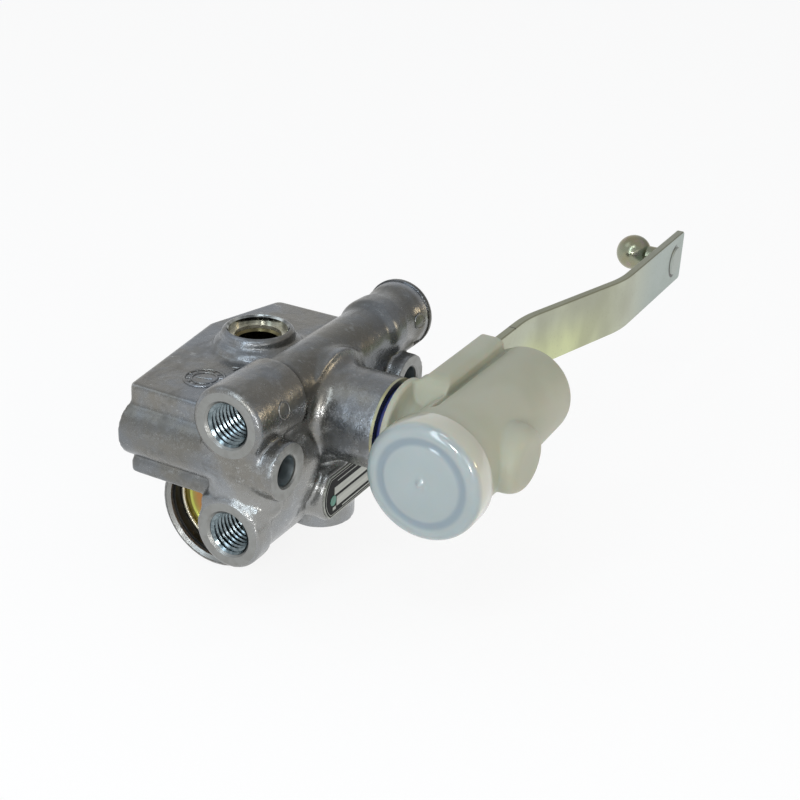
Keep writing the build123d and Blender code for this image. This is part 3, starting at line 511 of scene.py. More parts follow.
# (mouth, inward, boss radius, reach of the passage, round of the boss's edge)
port_places = (
    ((TUBE_AXIS[0], PORT_FRONT_Y, TUBE_AXIS[1]), (0, 1, 0), 10.4, 46.0, 1.7),
    ((TUBE_AXIS[0], PORT_BACK_Y, TUBE_AXIS[1]), (0, -1, 0), 10.6, 46.0, 2.4),
    ((LOWER_AXIS[0], PORT_FRONT_Y, LOWER_AXIS[1]), (0, 1, 0), 9.9, 40.5, 1.0),
)
rounds = []
for number, (mouth, inward, boss_r, reach, edge) in enumerate(port_places):
    rounds.append(edge_round(f"edge_{number}", boss_r, edge, mouth, inward))
rounds.append(edge_round("edge_supply", SUPPLY_BOSS_R, 1.7, SUPPLY_AT, (0, 0, -1)))
rounds.append(edge_round("edge_chamber", CHAMBER_BOSS_R, 1.1, CHAMBER_AT, (0, 1, 0)))
flare = [(48.6, 10.6), (47.3, 10.5), (45.8, 10.1), (44.2, 9.6), (42.6, 9.3), (36.7, 9.25)]
rounds.append(part_ring("rear_flare", TUBE_AXIS, flare + [(36.7, 11.4), (48.6, 11.4)], -32.0, 208.0))
casting = machined_out(joined("casting_core", [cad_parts["housing"]], weld=True), rounds)

stock = [casting]
face_cuts = []
bore_cuts = []
bolt_cuts = []
for number, (mouth, inward, boss_r, reach, edge) in enumerate(port_places):
    filled = [(0.1, boss_r - edge), (PORT_DEPTH + 1.0, boss_r - 1.0)]
    faced = [(-4.0, 12.0), (0.1, 12.0), (0.1, 6.7), (0.9, 5.9), (9.0, 5.9)]
    bored = [(0.5, PORT_R), (PORT_DEPTH, PORT_R), (PORT_DEPTH, PASSAGE_R), (reach, PASSAGE_R)]
    stock.append(turned(f"port_stock_{number}", filled, mouth, inward))
    face_cuts.append(turned(f"port_face_{number}", faced, mouth, inward))
    bore_cuts.append(turned(f"port_bore_{number}", bored, mouth, inward))
bolt_faced = [(-4.0, 8.4), (0.12, 8.4), (0.12, 4.8), (0.55, 4.3), (1.0, 4.3)]
for bolt_y in (-BOLT_Y, BOLT_Y):
    bolt_at = (0.0, bolt_y, 0.0)
    stock.append(turned("bolt_stock", [(0.0, 7.0), (47.5, 7.0)], bolt_at, (-1, 0, 0)))
    face_cuts.append(turned("bolt_face", bolt_faced, bolt_at, (-1, 0, 0)))
    bolt_cuts.append(turned("bolt_cut", [(0.95, BOLT_R), (60.0, BOLT_R)], bolt_at, (-1, 0, 0)))
supply_bored = [(-1.0, 9.5), (0.1, 8.9), (0.6, SUPPLY_RING_R), (3.4, SUPPLY_RING_R), (3.4, SUPPLY_BORE_R)]
supply_bored += [(17.0, SUPPLY_BORE_R), (17.0, SUPPLY_PASSAGE_R), (26.2, SUPPLY_PASSAGE_R)]
stock.append(turned("supply_stock", [(0.0, 8.6), (12.0, 9.4)], SUPPLY_AT, (0, 0, -1)))
bore_cuts.append(turned("supply_cut", supply_bored, SUPPLY_AT, (0, 0, -1)))
chamber_faced = [(-1.0, 15.9), (0.2, 15.9), (1.0, CHAMBER_MOUTH_R), (2.1, CHAMBER_MOUTH_R)]
chamber_bored = [(0.9, CHAMBER_MOUTH_R), (2.2, CHAMBER_MOUTH_R), (2.2, CHAMBER_R), (12.5, CHAMBER_R)]
stock.append(turned("chamber_stock", [(0.3, 15.6), (14.0, 15.6)], CHAMBER_AT, (0, 1, 0)))
face_cuts.append(turned("chamber_face", chamber_faced, CHAMBER_AT, (0, 1, 0)))
dark_cuts = [turned("chamber_cut", chamber_bored, CHAMBER_AT, (0, 1, 0))]
shaft_mouth = (SHAFT_BOSS_X, 0.0, SHAFT_Z)
shaft_bored = [(-4.0, 15.0), (0.0, 15.0), (0.0, 9.5), (4.5, 9.5), (4.5, 6.27), (22.6, 6.27)]
stock.append(turned("shaft_stock", [(-3.0, 13.1), (18.0, 12.0)], shaft_mouth, (-1, 0, 0)))
bore_cuts.append(turned("shaft_cut", shaft_bored, shaft_mouth, (-1, 0, 0)))
control_bored = [(-1.0, CONTROL_PLUG_R), (26.8, CONTROL_PLUG_R), (26.8, CONTROL_R), (39.4, CONTROL_R)]
stock.append(turned("control_stock", [(0.3, 9.0), (39.0, 8.6)], CONTROL_AT, (0, 0, 1)))
bore_cuts.append(turned("control_cut", control_bored, CONTROL_AT, (0, 0, 1)))

# Fills that the foundry's draft and fillets leave: the wall round the front bolt boss, the swelling web from
# it down to the lower tube, the neck behind the rear boss, and the ledge low along the housing's front.
# The front boss's shoulder and the rear flare's lip are sharper, so they are cut again after the rounding.
stock.append(pillow("wall_fill", (-8.0, -21.5, -7.5), (6.6, 14.0, 13.5)))
stock.append(pillow("wall_fill_low", (-10.0, -25.0, -15.5), (7.0, 11.5, 8.5)))
stock.append(pillow("web_fill", (-10.5, -33.5, -9.0), (9.5, 5.6, 8.0)))
WEB_START_X = -21.8
WEB_STEP = 1.55
WEB_STEPS = 12
WEB_ROUND = 6.2
WEB_LEAST = 0.04
# (y at the web's ends, how far the middle swells out, z)
web_outline = [(-30.0, 0.0, -2.0), (-37.0, 2.7, -4.4), (-36.4, 2.7, -6.4), (-36.2, 2.9, -8.2)]
web_outline += [(-36.2, 3.2, -10.4), (-30.0, 0.0, -12.0)]
web_rows = []
for i in range(WEB_STEPS + 1):
    bulge = math.sqrt(max(WEB_LEAST, 1.0 - ((i - WEB_STEPS / 2) / WEB_ROUND) ** 2))
    web_rows.append([(WEB_START_X + WEB_STEP * i, y - swell * bulge, z) for y, swell, z in web_outline])
stock.append(skinned("web_saddle", web_rows))
stock.append(pillow("web_left", (-19.3, -35.6, -13.6), (5.0, 4.2, 4.2)))
neck = [(13.5, 9.2), (15.0, 9.9), (20.6, 10.1), (21.8, 9.9), (22.9, 9.2), (23.6, 8.6), (25.5, 8.4)]
stock.append(turned("rear_neck", neck, (TUBE_AXIS[0], PORT_BACK_Y, TUBE_AXIS[1]), (0, -1, 0)))
stock.append(ledge("front_ledge", (-48.2, -35.9, -12.9), (-21.5, -33.0, -8.6)))

casting = worn_round(joined("casting", stock), CAST_GRID, CAST_ROUNDS)
in_finish([casting], cast_skin)
shoulder = [(-18.9, 9.35), (-18.9, 12.0), (-16.0, 12.0), (-16.0, 8.9)]
lip = [(48.9, 10.15), (48.9, 12.0), (43.0, 12.0), (43.0, 9.75), (46.0, 9.95)]
skin_cuts = [
    part_ring("shoulder", TUBE_AXIS, shoulder, -28.0, 150.0),
    part_ring("lip", TUBE_AXIS, lip, -40.0, 220.0),
]
machined_out(
    casting,
    in_finish(face_cuts, face_metal)
    + in_finish(bore_cuts, bore_metal)
    + in_finish(bolt_cuts, bolt_metal)
    + in_finish(dark_cuts, dark_metal)
    + in_finish(skin_cuts, cast_skin),
)
smooth_above(casting, 32)
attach(casting, "housing")
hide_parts("housing")

# Port threads: M12 x 1.5, tapped after casting, so they're bright and cleaner than the skin. Each is one
# ridge that winds inwards along the bore and rises over a little more than its first half turn.
THREAD_PITCH = 1.5
THREAD_START = 0.75
THREAD_CREST_R = 5.2
THREAD_ROOT_R = PORT_R + 0.05
THREAD_CREST_HALF = 0.12
THREAD_ROOT_HALF = 0.66
THREAD_RISE = 0.72
THREAD_RISE_TURNS = 0.6
THREAD_TURNS = 7.9
THREAD_STEPS = 64


def thread_ridge(name, mouth, inward):
    """One helical ridge with a flat crest, its foot just inside the bore's wall."""
    axis = Vector(inward)
    side = axis.orthogonal().normalized()
    other = axis.cross(side)
    rows = []
    for i in range(int(THREAD_TURNS * THREAD_STEPS) + 1):
        turn = 2 * math.pi * i / THREAD_STEPS
        crest = THREAD_CREST_R + (1.0 - min(1.0, i / (THREAD_RISE_TURNS * THREAD_STEPS))) * THREAD_RISE
        out = side * math.cos(turn) + other * math.sin(turn)
        foot = Vector(mouth) + axis * (THREAD_START + THREAD_PITCH * i / THREAD_STEPS)
        shape = [(-THREAD_ROOT_HALF, THREAD_ROOT_R), (-THREAD_CREST_HALF, crest)]
        shape += [(THREAD_CREST_HALF, crest), (THREAD_ROOT_HALF, THREAD_ROOT_R)]
        rows.append([foot + axis * shift + out * radius for shift, radius in shape])
    return skinned(name, rows)


thread_metal, thread_shader, thread_place = finish_named("thread_cut", Metallic=1.0)
thread_wear = thread_place.noise(900.0, detail=3.0).step(0.35, 0.7)
feed(thread_shader, "Base Color", thread_wear.mix((0.15, 0.19, 0.205), (0.27, 0.32, 0.34)))
feed(thread_shader, "Roughness", thread_wear * 0.12 + 0.16)
feed(thread_shader, "Normal", thread_place.noise(2500.0, detail=2.0).bump(0.1, 0.00003))
for number, place in enumerate(port_places):
    thread = thread_ridge(f"port_thread_{number}", *place[:2])
    thread.data.materials.append(thread_metal)
    smooth_above(thread, 30)
    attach(thread, "housing")

# Retaining ring of the exhaust: round spring wire, pale and slightly yellow, open at the bottom. It is
# snapped into the chamber's groove and holds the dish in.
RING_WIRE = 0.55
RING_DEPTH = 5.2
RING_STEPS = 120
RING_SIDES = 12
RING_MID_R = 13.6
RING_GAP_DEG = 14.0
ring_rows = []
for i in range(RING_STEPS + 1):
    turn = math.radians(-90 + RING_GAP_DEG + (360 - 2 * RING_GAP_DEG) * i / RING_STEPS)
    out = Vector((math.cos(turn), 0, math.sin(turn)))
    row = []
    for j in range(RING_SIDES):
        lean = 2 * math.pi * j / RING_SIDES
        spot = Vector(CHAMBER_AT) + out * (RING_MID_R + RING_WIRE * math.cos(lean))
        row.append(spot + Vector((0, RING_DEPTH + RING_WIRE * math.sin(lean), 0)))
    ring_rows.append(row)
exhaust_ring = skinned("exhaust_ring_wire", ring_rows)
ring_steel, ring_shader, ring_place = finish_named("ring_steel", Metallic=0.8)
ring_cloud = ring_place.noise(300.0, detail=4.0).step(0.35, 0.7)
feed(ring_shader, "Base Color", ring_cloud.mix((0.60, 0.56, 0.42), (0.78, 0.75, 0.62)))
feed(ring_shader, "Roughness", ring_cloud * 0.12 + 0.25)
feed(ring_shader, "Normal", ring_place.noise(1500.0).bump(0.1, 0.00003))
exhaust_ring.data.materials.append(ring_steel)
smooth_above(exhaust_ring, 40)
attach(exhaust_ring, "housing")
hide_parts("exhaust_retaining_ring")

# Zinc-plated small pieces: the pressed dish of the exhaust, the lever shaft's washer and the ball stud. The
# yellow chromate film shifts between gold, green and violet with its thickness.


def dressed(names, metal, bevel=0.0):
    """Gives CAD nodes a finish and, where asked, a small broken edge."""
    for name in names:
        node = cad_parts[name]
        in_finish([node], metal)
        if bevel:
            edge = node.modifiers.new("edge", "BEVEL")
            edge.width = bevel * MM
            edge.segments = 2
            edge.limit_method = "ANGLE"
            edge.angle_limit = math.radians(35)
            edge.harden_normals = True


dish_zinc, dish_shader, dish_place = finish_named("zinc_olive", Metallic=0.9)
dish_off = off_axis(measured_from(dish_place, CHAMBER_AT[0], 0.0, CHAMBER_AT[2]))
dish_film = dish_place.noise(90.0, detail=3.0).step(0.35, 0.65)
dish_tone = dish_film.mix((0.30, 0.25, 0.07), (0.40, 0.34, 0.09))
dish_fold = dish_off.band(0.0110, 0.0113, 0.0116, 0.0121)
# Inside the fold the dish is painted orange-brown: a painted reflection of the orange flap.
dish_tone = dish_off.below(0.0098, 0.0112).mix(dish_tone, (0.42, 0.21, 0.075))
feed(dish_shader, "Base Color", (dish_fold * 0.8).mix(dish_tone, (0.50, 0.55, 0.12)))
feed(dish_shader, "Roughness", dish_film * 0.1 + 0.28)
feed(dish_shader, "Normal", dish_place.noise(900.0, detail=3.0).bump(0.12, 0.00004))
dressed(["exhaust_dish"], dish_zinc)

washer_zinc, washer_shader, washer_place = finish_named("zinc_washer", Metallic=1.0)
washer_film = washer_place.noise(160.0, detail=3.0, roughness=0.55).step(0.35, 0.65)
washer_patch = washer_place.noise(432.0, detail=4.0, roughness=0.6).step(0.5, 0.75)
washer_speck = washer_place.noise(1400.0, detail=3.0).step(0.55, 0.8)
washer_tone = washer_film.mix((0.48, 0.45, 0.25), (0.40, 0.40, 0.28))
washer_tone = (washer_patch * 0.6).mix(washer_tone, (0.32, 0.34, 0.30))
feed(washer_shader, "Base Color", (washer_speck * 0.25).mix(washer_tone, (0.45, 0.42, 0.33)))
feed(washer_shader, "Roughness", washer_speck * 0.15 + washer_film * 0.06 + 0.25)
feed(washer_shader, "Normal", washer_place.noise(1800.0, detail=2.0).bump(0.15, 0.00003))
dressed(["shaft_washer"], washer_zinc, 0.12)

stud_zinc, stud_shader, stud_place = finish_named("zinc_gold", Metallic=0.95)
stud_film = stud_place.noise(130.0, detail=3.0).step(0.35, 0.65)
stud_patch = stud_place.noise(320.0, detail=4.0).step(0.5, 0.72)
stud_tone = stud_film.mix((0.32, 0.29, 0.18), (0.28, 0.30, 0.22))
stud_tone = (stud_patch * 0.6).mix(stud_tone, (0.38, 0.30, 0.30))
stud_end = stud_place.part("X").step(0.0385, 0.0387)
feed(stud_shader, "Base Color", stud_end.mix(stud_tone, (0.37, 0.41, 0.38)))
feed(stud_shader, "Roughness", stud_patch * 0.08 + stud_end * 0.18 + 0.22)
feed(stud_shader, "Normal", stud_place.noise(900.0, detail=3.0).bump(0.12, 0.00004))
dressed(["ball_stud"], stud_zinc, 0.12)

# Lever: a flat steel bar with two bends, zinc plated, its film yellowest at the first bend and grey towards
# the ball stud, which is riveted through its end. The other end sits in the pocket of the lever head.
STUD_AT = (38.6, 152.5, 9.2)
STUD_HOLE_R = 3.2
LEVER_MID_X = 24.55
LEVER_STEP = 12.8
LEVER_BENDS_Y = (56.0, 103.0)
LEVER_ENDS_Y = (21.1, 160.0)
LEVER_BEND_R = 40.0
LEVER_BEND_STEPS = 12
LEVER_HALF_THICK = 1.25
LEVER_HALF_HIGH = 8.7
LEVER_CORNER_R = 1.2
LEVER_EDGE_BREAK = 0.3
LEVER_NOTCH_Y = 46.5 * MM

lever_zinc, lever_shader, lever_place = finish_named("zinc_lever", Metallic=0.85)
lever_along = lever_place.part("Y")
lever_up = lever_place.part("Z")
lever_yellow = lever_along.band(0.043, 0.060, 0.076, 0.104) * lever_up.below(0.004, 0.016)
lever_grey = lever_along.step(0.10, 0.135)
lever_cloud = lever_place.noise(60.0, detail=4.0, roughness=0.6).step(0.35, 0.7)
lever_tone = lever_cloud.mix((0.44, 0.46, 0.35), (0.51, 0.54, 0.44))
lever_tone = (lever_yellow * 0.85).mix(lever_tone, (0.66, 0.71, 0.40))
lever_tone = (lever_grey * 0.9).mix(lever_tone, (0.34, 0.40, 0.38))
lever_smudge = lever_place.noise(38.0, detail=3.0, stretch=(1.0, 1.0, 0.55)).step(0.5, 0.68)
lever_tone = (lever_smudge * (1.0 - lever_grey) * 0.5).mix(lever_tone, (0.27, 0.27, 0.20))
# The top edge is painted darker: painted shade.
lever_edge = lever_up.step(0.0174, 0.0177)
lever_tone = (lever_edge * 0.75).mix(lever_tone, (0.25, 0.25, 0.17))
# A dark crescent round the rivet's head, on the half towards the lever head: a painted shadow.
lever_off = off_axis(measured_from(lever_place, 0.0, STUD_AT[1] - 0.25, STUD_AT[2]), "YZ")
rivet_painted_shadow = lever_off.band(0.0044, 0.0046, 0.0056, 0.0061)
rivet_painted_shadow = rivet_painted_shadow * lever_along.below(0.151, 0.154)
lever_tone = (rivet_painted_shadow * 0.9).mix(lever_tone, (0.05, 0.05, 0.045))
# A dark line across the top edge where it has a small cut: painted shade.
lever_from_notch = lever_along - LEVER_NOTCH_Y
lever_notch = (lever_from_notch * lever_from_notch * 4.0e6).below(0.05, 0.5) * lever_edge
lever_tone = (lever_notch * 0.9).mix(lever_tone, (0.05, 0.05, 0.04))
lever_speck = lever_place.noise(1200.0, detail=3.0).step(0.55, 0.8)
feed(lever_shader, "Base Color", (lever_speck * 0.2).mix(lever_tone, (0.30, 0.30, 0.24)))
feed(lever_shader, "Roughness", lever_cloud * 0.1 + lever_speck * 0.1 + 0.36)
lever_grain = lever_place.noise(500.0, detail=3.0, stretch=(1.0, 0.15, 1.0))
feed(lever_shader, "Normal", lever_grain.bump(0.15, 0.00005))

bend_angle = math.atan2(LEVER_STEP, LEVER_BENDS_Y[1] - LEVER_BENDS_Y[0])
bend_reach = LEVER_BEND_R * math.tan(bend_angle / 2)
lever_path = [(LEVER_MID_X, LEVER_ENDS_Y[0], 0.0)]
for i in range(LEVER_BEND_STEPS + 1):
    turn = bend_angle * i / LEVER_BEND_STEPS
    x = LEVER_MID_X + LEVER_BEND_R * (1 - math.cos(turn))
    lever_path.append((x, LEVER_BENDS_Y[0] - bend_reach + LEVER_BEND_R * math.sin(turn), turn))
for i in range(LEVER_BEND_STEPS + 1):
    turn = bend_angle * (LEVER_BEND_STEPS - i) / LEVER_BEND_STEPS
    x = LEVER_MID_X + LEVER_STEP - LEVER_BEND_R * (1 - math.cos(turn))
    lever_path.append((x, LEVER_BENDS_Y[1] + bend_reach - LEVER_BEND_R * math.sin(turn), turn))
for i in range(7):
    turn = math.pi / 2 * i / 6
    y = LEVER_ENDS_Y[1] - LEVER_CORNER_R * (1 - math.sin(turn))
    lever_path.append((LEVER_MID_X + LEVER_STEP, y, 0.0))
lever_rows = []
for x, y, turn in lever_path:
    past = max(0.0, y - (LEVER_ENDS_Y[1] - LEVER_CORNER_R))
    high = LEVER_HALF_HIGH - LEVER_CORNER_R + math.sqrt(max(0.0, LEVER_CORNER_R**2 - past**2))
    row = []
    for side_x, side_z in ((1, -1), (1, 1), (-1, 1), (-1, -1)):
        insets = ((LEVER_EDGE_BREAK, 0.0), (0.0, LEVER_EDGE_BREAK))
        for inset_x, inset_z in insets if side_x * side_z < 0 else insets[::-1]:
            across = side_x * (LEVER_HALF_THICK - inset_x)
            z = STUD_AT[2] + side_z * (high - inset_z)
            row.append((x + across * math.cos(turn), y - across * math.sin(turn), z))
    lever_rows.append(row)
lever = skinned("lever_bar", lever_rows)
lever.data.materials.append(lever_zinc)
stud_hole = turned("stud_hole", [(-6.0, STUD_HOLE_R), (3.0, STUD_HOLE_R)], STUD_AT, (1, 0, 0))
machined_out(lever, in_finish([stud_hole], lever_zinc))
smooth_above(lever, 35)
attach(lever, "head")
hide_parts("lever")

# Lever head: one moulding of natural, slightly milky nylon. A disc and hub sit on the shaft, the cross barrel
# holds the override's piston and springs, the holder has the lever's pocket, and a boss closes the end.
NYLON_GRID = 0.4 * MM
NYLON_ROUNDS = 5
BARREL_AXIS = (33.7, 3.0)
BARREL_FRONT_Y = -23.0
HEAD_X = 15.3


def nylon(name, shade, light, coat, roughness):
    """A nylon, with its shader, its place and its plain tone for a piece that has more to draw."""
    plastic, shader, place = finish_named(
        name,
        Subsurface_Weight=0.25,
        Subsurface_Scale=0.004,
        Coat_Weight=coat,
        Coat_Roughness=0.07,
        Coat_IOR=1.8,
        IOR=1.5,
    )
    cloud = place.noise(45.0, detail=2.0, roughness=0.5).step(0.35, 0.65)
    speck = place.noise(1600.0, detail=2.0).step(0.6, 0.85)
    tone = cloud.mix(shade, light)
    feed(shader, "Base Color", (speck * 0.12).mix(tone, (0.30, 0.28, 0.22)))
    feed(shader, "Roughness", cloud * 0.06 + speck * 0.1 + roughness)
    feed(shader, "Normal", place.noise(1100.0, detail=3.0).bump(0.08, 0.00005))
    return plastic, shader, place, tone


head_nylon = nylon("nylon_head", (0.345, 0.348, 0.262), (0.385, 0.388, 0.305), coat=0.0, roughness=0.40)[0]

HOLDER_X = (19.4, 27.7)
HOLDER_Z = (3.0, 18.5)
HOLDER_BACK_Y = 36.6
HOLDER_ROUND = 3.4
POCKET_GAP = 0.02
POCKET_START_Y = LEVER_ENDS_Y[0] - 0.05
BOSS_AT = (0.8, 2.9)
BOSS_OVAL = 0.88
BARREL_BORE_R = 6.2
SHAFT_SOCKET_R = 4.05
holder_outline = [(HOLDER_X[0], HOLDER_Z[0]), (HOLDER_X[0], 17.7), (19.7, 18.3), (20.4, HOLDER_Z[1])]
for i in range(10):
    turn = math.radians(90 - 90 * i / 9)
    across = HOLDER_X[1] - HOLDER_ROUND + HOLDER_ROUND * math.cos(turn)
    holder_outline.append((across, HOLDER_Z[1] - HOLDER_ROUND + HOLDER_ROUND * math.sin(turn)))
holder_outline.append((HOLDER_X[1], HOLDER_Z[0]))
holder = prism("holder_block", holder_outline, "Y", -10.0, HOLDER_BACK_Y)
root_outline = [(16.8, HOLDER_Z[0]), (16.8, 15.2), (17.6, 16.6)]
root_outline += [(18.6, 17.3), (20.5, 17.6), (20.5, HOLDER_Z[0])]
root = prism("holder_root", root_outline, "Y", -10.0, 6.5)
holder = joined("holder", [holder, root])
nose = [(7.0, 18.55), (5.0, 18.3), (3.4, 17.7), (2.0, 16.7), (0.8, 15.2), (-0.2, 13.4), (-1.0, 11.4)]
nose += [(-1.6, 9.0), (-11.0, 9.0), (-11.0, 20.0), (7.0, 20.0)]
machined_out(holder, [prism("nose_cut", nose, "X", 14.0, 30.0)])

boss_profile = [(0.0, 10.6), (13.8, 10.4), (15.0, 10.2), (16.1, 9.8)]
boss_profile += [(17.0, 9.2), (17.7, 8.3), (18.1, 7.2), (18.2, 6.0)]
boss_turns = [2 * math.pi * i / 96 for i in range(96)]
boss_rows = []
for out, radius in boss_profile:
    high = BOSS_OVAL * radius
    oval = [(BOSS_AT[0] + radius * math.cos(turn), BOSS_AT[1] + high * math.sin(turn)) for turn in boss_turns]
    boss_rows.append([(BARREL_AXIS[0] + out, y, z) for y, z in oval])

barrel_mouth = (BARREL_AXIS[0], BARREL_FRONT_Y, BARREL_AXIS[1])
disc_face = (HEAD_X, 0.0, SHAFT_Z)
barrel = [(-1.0, 14.7), (18.0, 14.3), (40.0, 13.9), (62.0, 13.5), (63.0, 13.2), (63.6, 12.6), (63.9, 11.6)]
disc = [(-0.5, 13.8), (1.7, 13.8), (2.0, 12.5), (2.4, 11.2), (3.0, 10.0), (4.0, 9.0), (6.0, 8.4), (20.0, 8.3)]
head_stock = [
    holder,
    turned("barrel", barrel, barrel_mouth, (0, 1, 0)),
    turned("disc_and_hub", disc, disc_face, (1, 0, 0)),
    skinned("end_boss", boss_rows),
]
valley = [(27.0, 20.0), (26.9, 17.0), (27.0, 15.2), (27.5, 14.4)]
valley += [(28.2, 14.6), (28.6, 15.5), (28.9, 16.5), (28.9, 20.0)]
valley_cut = prism("valley_cut", valley, "Y", -8.0, 40.0)
head = machined_out(joined("head_moulding", head_stock), [valley_cut])
head = worn_round(head, NYLON_GRID, NYLON_ROUNDS)
in_finish([head], head_nylon)

barrel_bored = [(-2.0, 15.2), (0.0, 15.2), (0.0, 12.2), (8.0, 12.2)]
barrel_bored += [(8.0, BARREL_BORE_R), (44.5, BARREL_BORE_R)]
socket_bored = [(-2.0, 14.5), (0.0, 14.5), (0.0, 5.05), (3.4, 5.05)]
socket_bored += [(3.4, SHAFT_SOCKET_R), (31.2, SHAFT_SOCKET_R)]
pocket_low = (LEVER_MID_X - LEVER_HALF_THICK - POCKET_GAP, STUD_AT[2] - LEVER_HALF_HIGH - POCKET_GAP)
pocket_high = (LEVER_MID_X + LEVER_HALF_THICK + POCKET_GAP, STUD_AT[2] + LEVER_HALF_HIGH + POCKET_GAP)
pocket = [pocket_low, (pocket_high[0], pocket_low[1]), pocket_high, (pocket_low[0], pocket_high[1])]
head_cuts = [
    turned("mouth_cut", barrel_bored, barrel_mouth, (0, 1, 0)),
    turned("socket_cut", socket_bored, disc_face, (1, 0, 0)),
    prism("lever_pocket", pocket, "Y", POCKET_START_Y, 45.0),
]
smooth_above(machined_out(head, in_finish(head_cuts, head_nylon)), 40)
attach(head, "head")
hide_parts("lever_head")

# Head cap: a round moulding of a bluer and glossier nylon, with a ring and a nub on its face. It snaps over
# the front of the barrel and keeps the override's springs in.
CAP_FACE_Y = -24.82
cap_shades = ((0.238, 0.286, 0.288), (0.262, 0.308, 0.310))
cap_nylon, cap_shader, cap_place, cap_tone = nylon("nylon_cap", *cap_shades, coat=0.85, roughness=0.28)
cap_off = off_axis(measured_from(cap_place, BARREL_AXIS[0], 0.0, BARREL_AXIS[1]))
cap_blue = cap_off.band(0.0099, 0.0111, 0.0119, 0.0131)
cap_side = cap_place.part("Y").step(-0.0242, -0.0222)
cap_tone = (cap_blue * 0.9).mix(cap_tone, (0.155, 0.205, 0.240))
feed(cap_shader, "Base Color", (cap_side * 0.85).mix(cap_tone, (0.50, 0.49, 0.39)))

cap_bead = [(0.05, 10.2), (0.25, 10.7), (0.40, 11.2), (0.38, 11.8), (0.20, 12.4), (0.02, 13.0), (0.0, 13.5)]
cap_skirt = [(0.12, 14.3), (0.45, 15.05), (0.95, 15.65), (1.6, 16.0), (2.3, 16.1)]
cap_skirt += [(7.9, 16.1), (8.3, 15.9), (8.4, 15.6), (8.4, 14.8), (1.8, 14.8)]
cap_spigot = [(1.8, 12.18), (5.8, 12.18), (5.8, BARREL_BORE_R), (1.8, BARREL_BORE_R), (1.8, 0.01)]
cap_nub = [(-0.55, 0.01), (-0.52, 0.45), (-0.36, 0.85), (-0.08, 1.15), (0.10, 1.6)]
cap_nub += [(0.16, 2.3), (0.10, 3.0), (0.02, 4.0), (0.0, 7.0)]
cap_at = (BARREL_AXIS[0], CAP_FACE_Y, BARREL_AXIS[1])
cap_profile = cap_bead + cap_skirt + cap_spigot + cap_nub
cap = turned("cap_moulding", cap_profile, cap_at, (0, 1, 0), ring=True, around=128)
cap.data.materials.append(cap_nylon)
smooth_above(cap, 50)
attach(cap, "head")
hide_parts("head_cap")

# Data plate: thin aluminium sheet, printed black, with a bright edge, empty bare fields and a colour dot. It
# lies on the pad at the right of the housing.
PLATE_MID_Z = -17.75
PLATE_HALF_FLAT = 7.2
PLATE_END_R = 8.0
PLATE_HALF_HEIGHT = 6.35
DOT_AT = (-10.8, -1.15)
DOT_R = 1.5
PRINT, BARE, DOT = range(3)


def plate_outline(inset):
    radius = PLATE_END_R - inset
    half = PLATE_HALF_HEIGHT - inset
    limit = math.asin(half / radius)
    points = []
    for side in (1, -1):
        for i in range(17):
            turn = side * (limit - 2 * limit * i / 16)
            points.append((side * (PLATE_HALF_FLAT + radius * math.cos(turn)), radius * math.sin(turn)))
    return points


def slab(made, outline, x_low, x_high, finish):
    """A flat sheet between two planes in x, from an outline in (y, z) about the plate's middle."""
    low = [made.verts.new((x_low * MM, y * MM, (z + PLATE_MID_Z) * MM)) for y, z in outline]
    high = [made.verts.new((x_high * MM, y * MM, (z + PLATE_MID_Z) * MM)) for y, z in outline]
    faces = [made.faces.new(low), made.faces.new(high)]
    for i in range(len(outline)):
        j = (i + 1) % len(outline)
        faces.append(made.faces.new((low[i], low[j], high[j], high[i])))
    for face in faces:
        face.material_index = finish


def bar(y_low, y_high, z_low, z_high):
    return [(y_low, z_low), (y_high, z_low), (y_high, z_high), (y_low, z_high)]


plate_ink, ink_shader, ink_place = finish_named("plate_print", Metallic=0.0, Specular_IOR_Level=0.08)
plate_wear = ink_place.noise(700.0, detail=4.0).step(0.5, 0.75)
feed(ink_shader, "Base Color", plate_wear.mix((0.003, 0.0035, 0.0035), (0.014, 0.015, 0.014)))
feed(ink_shader, "Roughness", plate_wear * 0.2 + 0.35)
bare_metal, bare_shader, bare_place = finish_named("plate_bare", Metallic=0.9)
bare_brush = bare_place.noise(900.0, detail=3.0, stretch=(1.0, 0.05, 1.0)).step(0.35, 0.7)
feed(bare_shader, "Base Color", bare_brush.mix((0.33, 0.34, 0.31), (0.48, 0.49, 0.45)))
feed(bare_shader, "Roughness", bare_brush * 0.12 + 0.33)
dot_paint, dot_shader, dot_place = finish_named("plate_dot", Coat_Weight=0.3)
dot_cloud = dot_place.noise(500.0, detail=3.0).step(0.35, 0.7)
feed(dot_shader, "Base Color", dot_cloud.mix((0.035, 0.17, 0.12), (0.06, 0.24, 0.17)))
feed(dot_shader, "Roughness", dot_cloud * 0.15 + 0.35)

plate_mesh = bmesh.new()
slab(plate_mesh, plate_outline(0.0), 0.0, 0.42, BARE)
slab(plate_mesh, plate_outline(0.35), 0.1, 0.5, PRINT)
slab(plate_mesh, plate_outline(0.75), 0.2, 0.53, BARE)
slab(plate_mesh, plate_outline(0.95), 0.3, 0.56, PRINT)
for field in ((-10.2, 12.6, 0.3, 2.6), (-9.0, 12.9, -3.6, -0.6)):
    slab(plate_mesh, bar(*field), 0.4, 0.6, BARE)
for line in ((-11.0, -9.4, -4.3, -3.3), (-6.0, 10.0, -4.9, -4.5), (-8.6, 12.0, 4.0, 4.3)):
    slab(plate_mesh, bar(*line), 0.4, 0.59, BARE)
dot_turns = [2 * math.pi * i / 32 for i in range(32)]
dot = [(DOT_R * math.cos(turn) + DOT_AT[0], DOT_R * math.sin(turn) + DOT_AT[1]) for turn in dot_turns]
slab(plate_mesh, dot, 0.4, 0.66, DOT)
